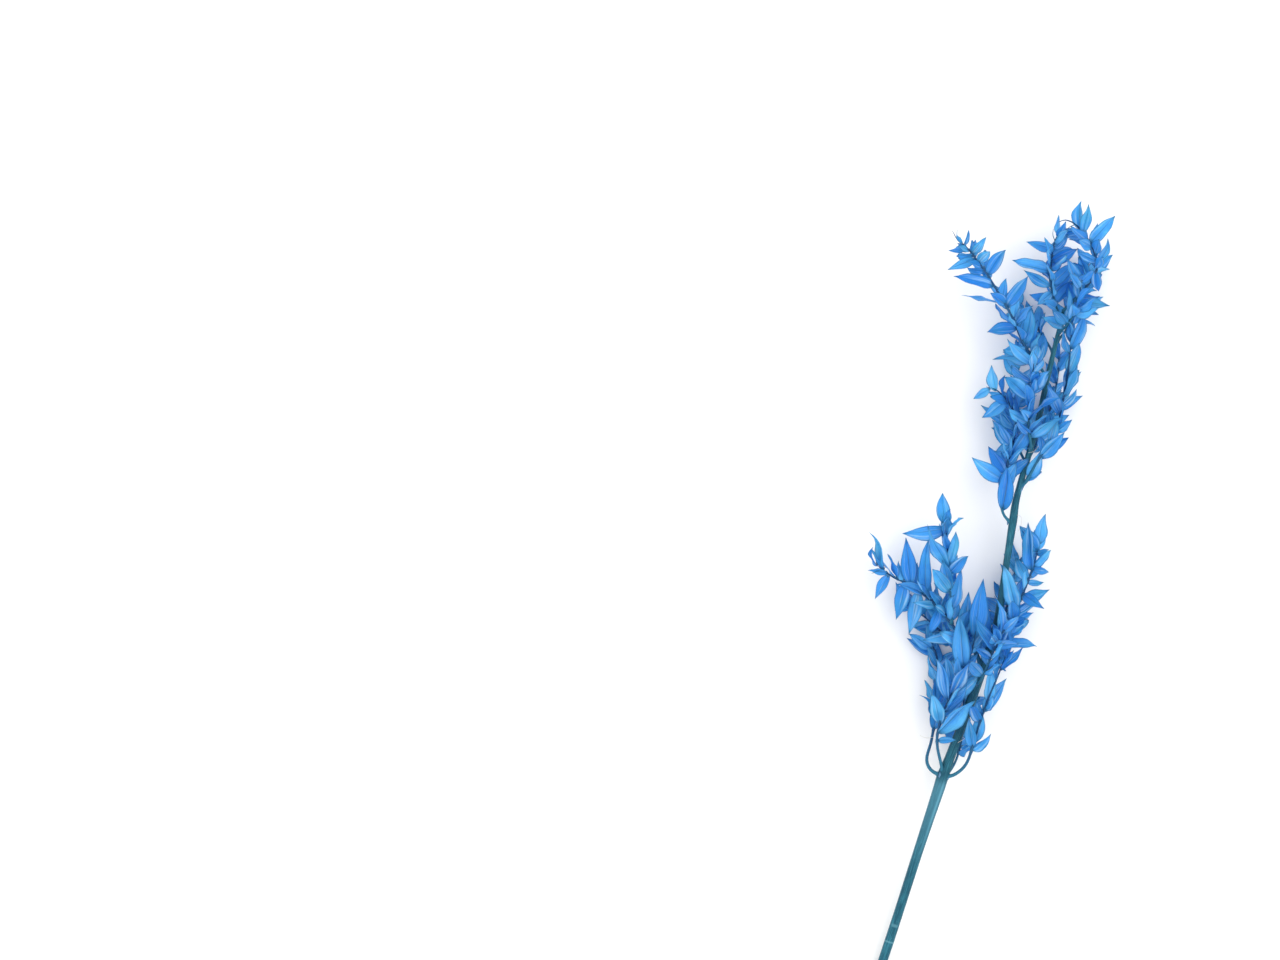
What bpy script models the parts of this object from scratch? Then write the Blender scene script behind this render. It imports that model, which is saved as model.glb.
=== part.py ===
"""A dried ruscus stem, dyed blue, lying on a flat surface.

The stem lies along +Y, cut end towards -Y, and rests on z = 0. Side twigs leave it in whorls.
Each twig is fused with the small sharp leaves that it carries, in one solid for each spray,
and every spray is seated on the main stem with a hairline gap.
"""

import math
import random
from dataclasses import dataclass

import bmesh
import bpy
from mathutils import Quaternion, Vector
from mathutils.bvhtree import BVHTree

MM = 0.001
UP = Vector((0, 0, 1))
GROWTH = Vector((0, 1, 0))

# Points worked out on each stretch of a route before they are spaced evenly
ROUTE_FINENESS = 20

# Main stem, from the cut end to the tip where the last twigs fork: x, y, z, radius
STEM_ROUTE = (
    (1.0, 0, 2.6, 2.9),
    (1.5, 14, 2.7, 3.0),
    (6.4, 120, 7, 2.95),
    (8.3, 190, 12, 3.0),
    (9.6, 228, 14.5, 3.6),
    (9.8, 239, 15, 3.8),
    (10.8, 252, 16, 3.1),
    (12.9, 280, 17.5, 3.0),
    (14.7, 312, 19, 3.1),
    (15.4, 340, 20.5, 2.4),
    (10.3, 381, 22, 2.15),
    (7.2, 405, 23, 2.6),
    (5.4, 421, 23.5, 2.1),
    (5.1, 465, 25, 1.9),
    (3.2, 494, 26, 1.8),
    (1.2, 537, 27, 1.15),
)
STEM_ROUNDNESS = 3
STEM_STEP = 17
CUT_ANGLE = 40
CUT_FOOT = 0.5

# Side twigs
TWIG_ROUNDNESS = 1
TWIG_STEP = 10
TWIG_TAPER = 0.8
TWIG_TIP_RADIUS = 0.42

# Leaf blades: shares of the length and of the half width where a blade has points, and its outline
BLADE_THICKNESS = 0.6
BLADE_ROWS = (0, 0.14, 0.37, 0.67, 1)
BLADE_COLUMNS = (-1, 0, 1)
BASE_FULLNESS = 0.75
TIP_SHARPNESS = 1.2
BROAD_LENGTH = 19

# Leaves that reach the surface are pressed flat on it
PRESS_DEPTH = 3.5
PRESSED_BEND = 0.02
PRESSED_FOLD = 0.06

# How leaves are set along a twig, and how they are turned to find room
GOLDEN_TURN = 137.5
SPREAD_CLOSING = 20
LIFTS = (0, 3, -3, 6, -6, 9, -9)
ROLLS = (0, 20, -20, 40, -40)
GUESSES = 160
GUESS_SHRINK = 0.35
SEED = 71

# Fits
SEAT_GAP = 0.3
LEAF_CLEARANCE = 0.4
OWN_CLEARANCE = 0.1
WELD = 0.01


@dataclass
class Twig:
    """One twig: the points it runs through in mm, root first, and the leaves it carries.

    thick is its radius at the root, and longest and shortest are the leaves' lengths at its two
    ends. Shares of it are bare at the root and end in a tendril. The first leaf stands at the
    angle first, leaves spread from the twig by the angle spread, and pull turns them the way the
    stem grows. Leaves placed by hand are (share of the twig, tip, roll)."""

    route: tuple
    leaves: int
    longest: float
    shortest: float
    thick: float = 0.9
    bare: float = 0.2
    tendril: float = 0.0
    first: float = 0.0
    spread: float = 60
    pull: float = 0.0
    placed: tuple = ()


@dataclass
class Leaf:
    """One leaf: its root, the way it points, the way it faces, and how it is shaped."""

    root: Vector
    direction: Vector
    normal: Vector
    length: float
    width: float
    bend: float
    fold: float
    twist: float


SPRAYS = {
    "low_left_spray": [
        Twig(
            ((9.8, 239, 15), (1.5, 241, 15.5), (-2.8, 247, 15), (-3, 259, 13), (-5, 277, 10),
             (-8, 291, 8), (-12, 305, 8), (-17, 314, 9), (-28, 318, 12)),
            leaves=6, longest=19, shortest=14, thick=1.2, bare=0.4, first=200, spread=38,
            placed=((0.48, (-11, 296, 16), 10), (0.88, (-35, 320, 11), -25)),
        )
    ],
    "low_inner_spray": [
        Twig(
            ((9.8, 239, 15), (6.5, 246, 19), (1, 256, 22), (-1.5, 265, 23), (-1.5, 277, 25),
             (0, 293, 28), (2, 306, 31), (4, 318, 33), (3, 332, 34)),
            leaves=5, longest=24, shortest=16, thick=1.1, bare=0.3, first=90, spread=38, pull=0.3,
            placed=((0.95, (-2, 364, 35), 15), (0.6, (-10, 312, 31), -20),
                    (0.55, (4, 314, 33), 25)),
        )
    ],
    "low_right_spray": [
        Twig(
            ((9.8, 239, 15), (16, 242, 17), (21, 250, 20), (22, 262, 22), (22, 277, 24),
             (22.5, 293, 27), (24, 308, 30), (25, 322, 32)),
            leaves=7, longest=20, shortest=15, thick=1.2, bare=0.3, first=-60, spread=36, pull=0.2,
            placed=((0.36, (21, 286, 25), -20), (0.32, (14, 279, 27), 15),
                    (0.66, (18, 313, 29), 20)),
        )
    ],
    "low_under_spray": [
        Twig(
            ((9, 238, 14), (14, 244, 9), (16, 255, 6), (14, 274, 5), (9, 292, 5), (3, 309, 5.5)),
            leaves=6, longest=19, shortest=14, bare=0.25, first=30,
        )
    ],
    "middle_left_spray": [
        Twig(
            ((14, 311, 19), (7.4, 319, 21), (-3, 325, 24), (-12, 332, 26), (-20, 338, 27),
             (-30, 343, 27), (-38, 347, 26), (-46, 348.5, 25), (-55, 350, 23), (-66, 354, 21)),
            leaves=8, longest=22, shortest=16, thick=1.4, bare=0.12, first=0, spread=50, pull=0.4,
            placed=((0.24, (-7, 355, 26), -20),
                    (0.62, (-44, 379, 29), 30), (0.74, (-53, 376, 24), -15),
                    (0.78, (-45, 325, 24), 10), (0.15, (-14, 319, 20), 20),
                    (0.29, (-26, 318, 21), -15), (0.53, (-39, 338, 31), 20)),
        ),
        Twig(
            ((-12, 332, 26), (-15, 341, 30), (-20, 354, 33), (-26, 371, 34), (-31, 384, 34),
             (-34, 392, 34)),
            leaves=8, longest=20, shortest=16, bare=0.14, first=120, spread=40, pull=0.25,
            placed=((0.97, (-42, 409, 34), 15), (0.93, (-57, 376, 36), -20),
                    (0.14, (-15, 366, 34), 20), (0.34, (-29, 369, 37), -25),
                    (0.58, (-23, 388, 38), 30)),
        ),
    ],
    "middle_right_spray": [
        Twig(
            ((14, 308, 19), (19, 313, 21), (23, 322, 23), (23.5, 338, 24), (24.5, 352, 24),
             (26, 365, 23), (27.5, 381, 21), (27, 397, 19)),
            leaves=8, longest=19, shortest=14, thick=1.1, bare=0.14, first=40, spread=42,
            placed=((0.97, (25, 413, 22), 20), (0.9, (34, 393, 25), -30),
                    (0.8, (38, 381, 27), 35), (0.7, (36, 371, 16), -25),
                    (0.62, (40, 357, 31), 10), (0.92, (10, 403, 22), -20),
                    (0.27, (43, 336, 26), 20), (0.13, (34, 326, 22), -20),
                    (0.15, (24, 339, 32), 10)),
        )
    ],
    "middle_front_spray": [
        Twig(
            ((13.8, 300, 18.4), (15, 303, 25), (16, 312, 31), (17, 325, 36), (19, 338, 40)),
            leaves=6, longest=20, shortest=15, bare=0.22, first=10, spread=48,
        )
    ],
    "middle_under_spray": [
        Twig(
            ((14.2, 318, 19.4), (18, 324, 12), (21, 336, 7), (20, 352, 5.5), (19, 368, 5.5),
             (20, 384, 6)),
            leaves=8, longest=20, shortest=14, bare=0.25, first=80,
        )
    ],
    "middle_low_spray": [
        Twig(
            ((14, 306, 18.7), (6, 311, 12), (-4, 318, 7), (-15, 325, 5.5), (-27, 331, 5.5),
             (-39, 335, 6)),
            leaves=7, longest=21, shortest=15, bare=0.24, first=140,
        )
    ],
    "upper_left_spray": [
        Twig(
            ((6.8, 402, 22.8), (0.6, 406, 24), (-2.7, 412, 25), (-4, 418, 26), (-5.7, 433, 27),
             (-6.4, 449, 28), (-8.3, 464, 29), (-13.5, 471, 30), (-20, 476, 30), (-26, 479, 29),
             (-32, 479, 28)),
            leaves=9, longest=21, shortest=13, bare=0.3, tendril=0.05, first=160, spread=46,
            pull=0.15,
            placed=((0.3, (-31, 434, 30), 15), (0.93, (-33, 493, 29), -20),
                    (0.97, (-38, 470, 26), 25), (0.84, (-29, 458, 31), 30),
                    (0.22, (-1, 440, 29), -20)),
        )
    ],
    "upper_front_spray": [
        Twig(
            ((5.3, 450, 24.5), (3, 455, 31), (-1, 463, 35), (-4, 474, 38), (-6, 487, 39),
             (-9, 502, 39)),
            leaves=9, longest=21, shortest=16, bare=0.18, first=-30, spread=52,
            placed=((0.35, (-20, 468, 40), 20), (0.6, (-26, 490, 43), -15)),
        )
    ],
    "upper_right_spray": [
        Twig(
            ((5.5, 424, 23.6), (8.5, 431, 26), (10.5, 441, 28), (13, 450, 29), (16, 460, 29),
             (17, 473, 29), (15.5, 487, 30), (14, 501, 31), (11, 516, 33), (8, 530, 35)),
            leaves=9, longest=19, shortest=16, thick=1.0, bare=0.2, first=20, spread=34, pull=0.15,
            placed=((0.54, (23, 492, 33), 30), (0.72, (17, 523, 33), -15),
                    (0.86, (15, 541, 31), 20), (0.08, (12, 451, 28), -20),
                    (0.32, (14, 474, 34), 10)),
        )
    ],
    "upper_under_spray": [
        Twig(
            ((5.4, 432, 23.8), (6, 438, 16), (8, 448, 10), (11, 462, 6.5), (12, 480, 5.5),
             (11, 498, 5.5), (8, 512, 6)),
            leaves=9, longest=21, shortest=15, bare=0.22, first=70, spread=44,
        )
    ],
    "upper_low_spray": [
        Twig(
            ((5.4, 440, 24.1), (0, 447, 17), (-5, 456, 10), (-9, 470, 6.5), (-12, 486, 5.5),
             (-15, 503, 6)),
            leaves=7, longest=21, shortest=15, bare=0.24, first=190,
        )
    ],
    "long_left_spray": [
        Twig(
            ((3.4, 494, 26), (-4, 500.5, 29), (-17, 510, 33), (-25.6, 520.7, 35),
             (-33, 528.5, 36), (-50, 544.6, 36), (-62.5, 554.6, 34), (-68, 558.4, 33),
             (-74, 561, 32), (-79, 566, 31)),
            leaves=5, longest=20, shortest=11, thick=1.0, bare=0.1, tendril=0.13, first=100,
            spread=50,
            placed=((0.34, (-43, 513, 32), 20), (0.48, (-27, 551, 41), -15),
                    (0.5, (-62, 527, 30), 75), (0.61, (-71, 540, 39), 20),
                    (0.68, (-46, 565, 38), -20), (0.77, (-53, 561, 45), 10),
                    (0.79, (-76, 543, 31), -30), (0.83, (-59, 569, 37), 25),
                    (0.87, (-77, 553, 31), 15), (0.89, (-70, 569, 35), 60),
                    (0.46, (-42, 541, 33), 20), (0.24, (-19, 535, 39), -20),
                    (0.17, (-28, 503, 27), 20)),
        )
    ],
    "top_left_spray": [
        Twig(
            ((1.6, 532, 26.9), (-4, 538, 29), (-8, 545, 30), (-13, 554.6, 31), (-14, 560, 31),
             (-16, 569.5, 32), (-16.4, 576, 32), (-15.5, 583, 32)),
            leaves=6, longest=20, shortest=15, bare=0.12, first=180, spread=50,
            placed=((0.56, (-39, 557, 33), 20), (0.8, (-33, 572, 31), -25),
                    (0.95, (-13, 590, 37), 15), (0.67, (-2, 577, 33), 25),
                    (0.41, (-1, 568, 35), -20), (0.2, (-22, 541, 33), 20),
                    (0.33, (-17, 535, 26), -20)),
        )
    ],
    "top_right_spray": [
        Twig(
            ((1.2, 537, 27), (7, 549, 30), (12, 560, 32), (13.3, 566, 33), (12.5, 571, 34),
             (8, 578, 35), (4.6, 582, 36), (0.6, 585, 36), (-4, 588.5, 36), (-9, 591, 35),
             (-14, 591.3, 34), (-17.5, 589, 33)),
            leaves=5, longest=20, shortest=15, thick=1.0, bare=0.06, tendril=0.17, first=-20,
            spread=50,
            placed=((0.05, (22, 542, 30), 20), (0.42, (17, 552, 39), -10),
                    (0.47, (20, 586, 30), -65), (0.66, (15, 602, 39), 10),
                    (0.76, (-3, 604, 42), 20), (0.8, (-9, 606, 34), -30),
                    (0.5, (-4, 573, 40), 20), (0.35, (-1, 554, 38), -15),
                    (0.27, (6, 548, 22), 20), (0.74, (-11, 581, 38), -20)),
        )
    ],
    "top_front_spray": [
        Twig(
            ((2.2, 524, 26.7), (5, 529, 33), (7, 538, 38), (7, 548, 41), (5, 556, 43)),
            leaves=6, longest=20, shortest=15, bare=0.22, first=45, spread=52,
            placed=((0.15, (-12, 529, 36), 20),),
        )
    ],
    "top_under_spray": [
        Twig(
            ((2.4, 518, 26.5), (6, 525, 19), (10, 536, 12), (12.5, 549, 8), (12.5, 561, 6),
             (9, 572, 6)),
            leaves=7, longest=20, shortest=14, bare=0.26, first=100,
        )
    ],
    "top_low_spray": [
        Twig(
            ((2.8, 510, 26.3), (-2, 516, 18), (-8, 522, 11), (-14, 527, 7), (-22, 531, 5.5),
             (-31, 536, 5.5)),
            leaves=6, longest=19, shortest=14, bare=0.28, first=220,
        )
    ],
}


def smooth_route(points, step):
    """Evenly spaced points, in mm, on a smooth curve through the given ones."""
    knots = [Vector(point[:3]) for point in points]
    knots = [2 * knots[0] - knots[1], *knots, 2 * knots[-1] - knots[-2]]
    fine = []
    for before, here, there, after in zip(knots, knots[1:], knots[2:], knots[3:]):
        for part in range(ROUTE_FINENESS):
            s = part / ROUTE_FINENESS
            fine.append(
                0.5
                * (
                    2 * here
                    + (there - before) * s
                    + (2 * before - 5 * here + 4 * there - after) * s**2
                    + (3 * here - before - 3 * there + after) * s**3
                )
            )
    fine.append(knots[-2])
    travelled = [0.0]
    for a, b in zip(fine, fine[1:]):
        travelled.append(travelled[-1] + (b - a).length)
    count = max(3, round(travelled[-1] / step))
    return [point_along(fine, travelled, k / count) for k in range(count + 1)]


def point_along(points, travelled, share):
    """The point at a share, 0 to 1, of the length of a run of points."""
    goal = share * travelled[-1]
    for k in range(1, len(points)):
        if travelled[k] >= goal or k == len(points) - 1:
            span = travelled[k] - travelled[k - 1]
            return points[k - 1].lerp(points[k], (goal - travelled[k - 1]) / span)


def place_on(line, share):
    """(point, direction) at a share of the length of an evenly spaced line."""
    at = min(max(share, 0), 1) * (len(line) - 1)
    k = min(int(at), len(line) - 2)
    ahead = line[min(k + 2, len(line) - 1)] - line[max(k - 1, 0)]
    return line[k].lerp(line[k + 1], at - k), ahead.normalized()


def stem_radius(height):
    """Radius of the main stem at a distance from its cut end."""
    for (_, low, _, thick), (_, high, _, thin) in zip(STEM_ROUTE, STEM_ROUTE[1:]):
        if height <= high:
            return thick + (thin - thick) * max(0, height - low) / (high - low)
    return STEM_ROUTE[-1][3]


def stem_stations():
    """Points along the main stem: at each point of its route, and between those that lie far apart."""
    line = smooth_route(STEM_ROUTE, 1)
    wanted = [knot[1] for knot in STEM_ROUTE]
    between = range(STEM_STEP, STEM_ROUTE[-1][1], STEM_STEP)
    wanted += [h for h in between if min(abs(h - knot[1]) for knot in STEM_ROUTE) > STEM_STEP / 2]
    return [min(line, key=lambda point: abs(point.y - height)) for height in sorted(wanted)]


def twig_radii(twig, line):
    """Radius of a twig at each point of its line: it tapers from its root to its tip."""
    shares = [k / (len(line) - 1) for k in range(len(line))]
    return [twig.thick + (TWIG_TIP_RADIUS - twig.thick) * share**TWIG_TAPER for share in shares]


def outline(along):
    """Half width of a leaf, as a share of its widest, from root to sharp tip."""
    widest = BASE_FULLNESS / (BASE_FULLNESS + TIP_SHARPNESS)
    top = widest**BASE_FULLNESS * (1 - widest) ** TIP_SHARPNESS
    return along**BASE_FULLNESS * (1 - along) ** TIP_SHARPNESS / top


def blade_point(leaf, along, across, lift=0.0, grow=0.0):
    """A point of a leaf: along 0 to 1, across -1 to 1, lifted off its middle surface.

    The blade bends along its length, folds at the midrib, twists, and lies on the surface
    that the stem rests on where it would reach below it."""
    turn = leaf.bend * along
    ahead = math.sin(turn) / leaf.bend
    rise = (1 - math.cos(turn)) / leaf.bend
    centre = leaf.root + leaf.length * (ahead * leaf.direction + rise * leaf.normal)
    normal = math.cos(turn) * leaf.normal - math.sin(turn) * leaf.direction
    side = leaf.direction.cross(leaf.normal)
    roll = leaf.twist * along
    side, normal = (
        math.cos(roll) * side + math.sin(roll) * normal,
        math.cos(roll) * normal - math.sin(roll) * side,
    )
    half = leaf.width / 2 * outline(along) + grow
    point = centre + half * across * side + leaf.fold * half * abs(across) * normal
    point.z = max(point.z, BLADE_THICKNESS / 2)
    return point + lift * normal


def lowest(leaf):
    """Height of the lowest point of a leaf if nothing were under it."""
    heights = []
    for along in BLADE_ROWS:
        turn = leaf.bend * along
        rise = (1 - math.cos(turn)) / leaf.bend * leaf.normal.z
        ahead = math.sin(turn) / leaf.bend * leaf.direction.z
        half = leaf.width / 2 * outline(along)
        edge = abs(leaf.direction.cross(leaf.normal).z) * half
        heights.append(leaf.root.z + leaf.length * (rise + ahead) - edge)
    return min(heights)


def lay_down(leaf):
    """Turns a leaf that would reach below the surface so that its outer part lies flat on it."""
    if lowest(leaf) > BLADE_THICKNESS / 2:
        return
    steepest = -(leaf.root.z + PRESS_DEPTH) / leaf.length
    level = Vector((leaf.direction.x, leaf.direction.y, 0)).normalized()
    slope = max(leaf.direction.z, steepest)
    leaf.direction = (level * math.sqrt(1 - slope**2) + UP * slope).normalized()
    leaf.normal = (UP - UP.dot(leaf.direction) * leaf.direction).normalized()
    leaf.bend, leaf.fold, leaf.twist = PRESSED_BEND, PRESSED_FOLD, 0.0


def thick_blade(leaf, half_thickness, grow=0.0):
    """Points and faces of the closed blade that stands for a leaf where clearances are tested."""
    wide = len(BLADE_COLUMNS)
    points = [
        blade_point(leaf, along, across, lift, grow)
        for lift in (half_thickness, -half_thickness)
        for along in BLADE_ROWS
        for across in BLADE_COLUMNS
    ]
    under = len(BLADE_ROWS) * wide
    faces = []
    for row in range(len(BLADE_ROWS) - 1):
        for column in range(wide - 1):
            a = row * wide + column
            quad = (a, a + 1, a + 1 + wide, a + wide)
            faces += [quad, tuple(k + under for k in quad)]
        for edge in (row * wide, row * wide + wide - 1):
            faces.append((edge, edge + wide, edge + wide + under, edge + under))
    return points, faces


def ring_tube(line, radii, sides=6):
    """Points and faces of a tube, which stands for a twig where clearances are tested."""
    points, faces = [], []
    for k, centre in enumerate(line):
        axis = line[min(k + 1, len(line) - 1)] - line[max(k - 1, 0)]
        turn = axis.to_track_quat("Z", "Y")
        for side in range(sides):
            angle = math.tau * side / sides
            points.append(centre + turn @ (Vector((math.cos(angle), math.sin(angle), 0)) * radii[k]))
    for k in range(len(line) - 1):
        for side in range(sides):
            a, b = k * sides + side, k * sides + (side + 1) % sides
            faces.append((a, b, b + sides, a + sides))
    return points, faces


class Crowd:
    """What is already in place, so that each new leaf can be turned clear of it.

    An owner is (spray, number of the twig), or (spray, None) for a leaf."""

    def __init__(self):
        self.things = []

    def add(self, points, faces, owner):
        self.things.append((*bounds(points), BVHTree.FromPolygons(points, faces), owner))

    def meets(self, leaf, twig_owner):
        """Whether a leaf comes too near anything but the twig that it grows on."""
        for own, clearance in ((True, OWN_CLEARANCE), (False, LEAF_CLEARANCE)):
            points, faces = thick_blade(leaf, BLADE_THICKNESS / 2 + clearance, clearance)
            low, high = bounds(points)
            tree = BVHTree.FromPolygons(points, faces)
            for other_low, other_high, other, owner in self.things:
                if (owner[0] == twig_owner[0]) != own or owner == twig_owner:
                    continue
                if any(low[k] > other_high[k] or high[k] < other_low[k] for k in range(3)):
                    continue
                if tree.overlap(other):
                    return True
        return False


def bounds(points):
    return (
        [min(point[k] for point in points) for k in range(3)],
        [max(point[k] for point in points) for k in range(3)],
    )


def width_of(length, chance):
    """The long leaves near the foot of a twig are narrower for their length."""
    return length * chance["breadth"] * math.sqrt(min(1, BROAD_LENGTH / length))


def leaf_from(twig, line, share, swing, shrink, chance):
    """The leaf that grows at a share of the twig, swung round it by an angle in degrees."""
    root, axis = place_on(line, share)
    across = axis.cross(UP).normalized()
    along_twig = (share - twig.bare) / (1 - twig.bare)
    spread = math.radians(twig.spread - SPREAD_CLOSING * along_twig + chance["spread"])
    radial = Quaternion(axis, math.radians(swing)) @ across
    direction = (math.cos(spread) * axis + math.sin(spread) * radial + twig.pull * GROWTH).normalized()
    normal = axis.cross(radial)
    normal = Quaternion(direction, math.radians(chance["roll"])) @ normal
    normal = (normal - normal.dot(direction) * direction).normalized()
    length = (twig.longest + (twig.shortest - twig.longest) * along_twig) * chance["size"] * shrink
    return Leaf(
        root, direction, normal, length, width_of(length, chance),
        chance["bend"], chance["fold"], chance["twist"],
    )


def leaf_to(line, share, tip, roll, chance):
    """A leaf whose root and tip are both given, facing up but for a roll in degrees."""
    root, _ = place_on(line, share)
    reach = Vector(tip) - root
    direction = reach.normalized()
    facing = (UP - UP.dot(direction) * direction).normalized()
    normal = Quaternion(direction, math.radians(roll)) @ facing
    return Leaf(
        root, direction, normal, reach.length, width_of(reach.length, chance),
        0.5 * chance["bend"], chance["fold"], 0.6 * chance["twist"],
    )


def chances(dice):
    """How one leaf differs from the next."""
    return {
        "roll": dice.uniform(-42, 42),
        "size": dice.uniform(0.86, 1.14),
        "breadth": dice.uniform(0.37, 0.48),
        "bend": dice.uniform(0.08, 0.75) * dice.choice((-1, 1, 1)),
        "fold": dice.uniform(0.1, 0.55),
        "twist": dice.uniform(-0.55, 0.55),
        "swing": dice.uniform(-16, 16),
    }


def clear_leaf(crowd, owner, tries):
    """A list of the first of some leaves that meets nothing in place, or an empty one."""
    for leaf in tries:
        lay_down(leaf)
        if not crowd.meets(leaf, owner):
            crowd.add(*thick_blade(leaf, BLADE_THICKNESS / 2), (owner[0], None))
            return [leaf]
    return []


def lifted_leaves(line, share, tip, roll, chance):
    """A leaf with its tip given, then the same leaf rolled, lifted and lowered to find room."""
    for lift in LIFTS:
        for turn in ROLLS:
            yield leaf_to(line, share, Vector(tip) + lift * UP, roll + turn, chance)


def turned_leaves(twig, line, k, dice):
    """Leaf number k of a twig, then looser and smaller guesses at it to find room."""
    chance = chances(dice)
    room = (1 - twig.tendril - twig.bare) / twig.leaves
    for guess in range(GUESSES):
        loose = guess / GUESSES
        share = twig.bare + room * (k + 0.6 + dice.uniform(-0.8, 0.8) * min(1, 2 * loose))
        swing = twig.first + GOLDEN_TURN * k + chance["swing"] + dice.uniform(-180, 180) * loose
        chance["spread"] = dice.uniform(-9, 9) + dice.uniform(-18, 22) * loose
        yield leaf_from(twig, line, share, swing, 1 - GUESS_SHRINK * loose, chance)


def grow():
    """Every twig with its line and its leaves: {spray: [(twig, line, leaves), ...]}."""
    crowd = Crowd()
    stations = stem_stations()
    stem = ring_tube(stations, [stem_radius(point.y) + SEAT_GAP for point in stations])
    crowd.add(*stem, ("main_stem", 0))
    grown = {}
    for spray, twigs in SPRAYS.items():
        grown[spray] = [(twig, smooth_route(twig.route, TWIG_STEP), []) for twig in twigs]
        for number, (twig, line, _) in enumerate(grown[spray]):
            crowd.add(*ring_tube(line, twig_radii(twig, line)), (spray, number))
    dice = random.Random(SEED)
    for spray, twigs in grown.items():
        for number, (twig, line, leaves) in enumerate(twigs):
            for share, tip, roll in twig.placed:
                tries = lifted_leaves(line, share, tip, roll, chances(dice))
                leaves += clear_leaf(crowd, (spray, number), tries)
    for spray, twigs in grown.items():
        for number, (twig, line, leaves) in enumerate(twigs):
            for k in range(twig.leaves):
                leaves += clear_leaf(crowd, (spray, number), turned_leaves(twig, line, k, dice))
    return grown


def material(name, colour, roughness):
    made = bpy.data.materials.new(name)
    made.use_nodes = True
    shader = made.node_tree.nodes["Principled BSDF"]
    shader.inputs["Base Color"].default_value = (*colour, 1)
    shader.inputs["Roughness"].default_value = roughness
    return made


def tube(name, line, radii, resolution, collection):
    """A solid tube through points in mm."""
    curve = bpy.data.curves.new(name, "CURVE")
    curve.dimensions = "3D"
    curve.bevel_depth = MM
    curve.bevel_resolution = resolution
    curve.use_fill_caps = True
    spline = curve.splines.new("POLY")
    spline.points.add(len(line) - 1)
    for point, at, radius in zip(spline.points, line, radii):
        point.co = (*(at * MM), 1)
        point.radius = radius
    source = bpy.data.objects.new(name, curve)
    collection.objects.link(source)
    mesh = bpy.data.meshes.new_from_object(
        source.evaluated_get(bpy.context.evaluated_depsgraph_get())
    )
    bpy.data.objects.remove(source)
    form = bmesh.new()
    form.from_mesh(mesh)
    bmesh.ops.remove_doubles(form, verts=form.verts, dist=WELD * MM)
    form.to_mesh(mesh)
    form.free()
    mesh.name = name
    made = bpy.data.objects.new(name, mesh)
    collection.objects.link(made)
    return made


def blade(name, leaf, collection):
    """A leaf as a thin plate: a grid moved to the leaf's form, cut in triangles and thickened."""
    form = bmesh.new()
    rows, columns = len(BLADE_ROWS), len(BLADE_COLUMNS)
    bmesh.ops.create_grid(form, x_segments=columns - 1, y_segments=rows - 1, size=1)
    for vert in form.verts:
        row = round((vert.co.y + 1) / 2 * (rows - 1))
        vert.co = blade_point(leaf, BLADE_ROWS[row], vert.co.x) * MM
    bmesh.ops.remove_doubles(form, verts=form.verts, dist=WELD * MM)
    bmesh.ops.triangulate(form, faces=form.faces)
    mesh = bpy.data.meshes.new(name)
    form.to_mesh(mesh)
    form.free()
    made = bpy.data.objects.new(name, mesh)
    collection.objects.link(made)
    solidify = made.modifiers.new("Thickness", "SOLIDIFY")
    solidify.thickness = BLADE_THICKNESS * MM
    solidify.offset = 0
    solidify.use_even_offset = True
    return made


def applied(source, name, collection):
    """A plain mesh object with an object's modifiers applied."""
    bpy.context.view_layer.update()
    graph = bpy.context.evaluated_depsgraph_get()
    mesh = bpy.data.meshes.new_from_object(source.evaluated_get(graph))
    mesh.name = name
    bpy.data.objects.remove(source)
    made = bpy.data.objects.new(name, mesh)
    collection.objects.link(made)
    return made


def boolean(target, operation, **operand):
    modifier = target.modifiers.new(operation.title(), "BOOLEAN")
    modifier.operation = operation
    modifier.solver = "EXACT"
    for key, value in operand.items():
        setattr(modifier, key, value)


def make_stem(collection, colour):
    """The main stem, cut slantwise at its foot, with a small flat where it lies on the surface."""
    stations = stem_stations()
    radii = [stem_radius(point.y) for point in stations]
    stem = tube("main_stem", stations, radii, STEM_ROUNDNESS, collection)
    form = bmesh.new()
    form.from_mesh(stem.data)
    slant = Vector((0, -math.cos(math.radians(CUT_ANGLE)), math.sin(math.radians(CUT_ANGLE))))
    cut = bmesh.ops.bisect_plane(
        form,
        geom=form.verts[:] + form.edges[:] + form.faces[:],
        plane_co=Vector((0, CUT_FOOT, 0)) * MM,
        plane_no=slant,
        clear_outer=True,
    )
    rim = [item for item in cut["geom_cut"] if isinstance(item, bmesh.types.BMEdge)]
    bmesh.ops.holes_fill(form, edges=rim)
    for vert in form.verts:
        vert.co.z = max(vert.co.z, 0)
    form.to_mesh(stem.data)
    form.free()
    stem.data.materials.append(colour)
    return stem


def stem_cutter(collection):
    """The main stem made thicker all round by the seat gap, which trims the foot of each spray."""
    stations = stem_stations()
    stations.append(stations[-1] + (stations[-1] - stations[-2]).normalized() * SEAT_GAP)
    radii = [stem_radius(point.y) + SEAT_GAP for point in stations]
    cutter = tube("stem_clearance", stations, radii, STEM_ROUNDNESS, collection)
    cutter.hide_render = True
    cutter.display_type = "WIRE"
    return cutter


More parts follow.
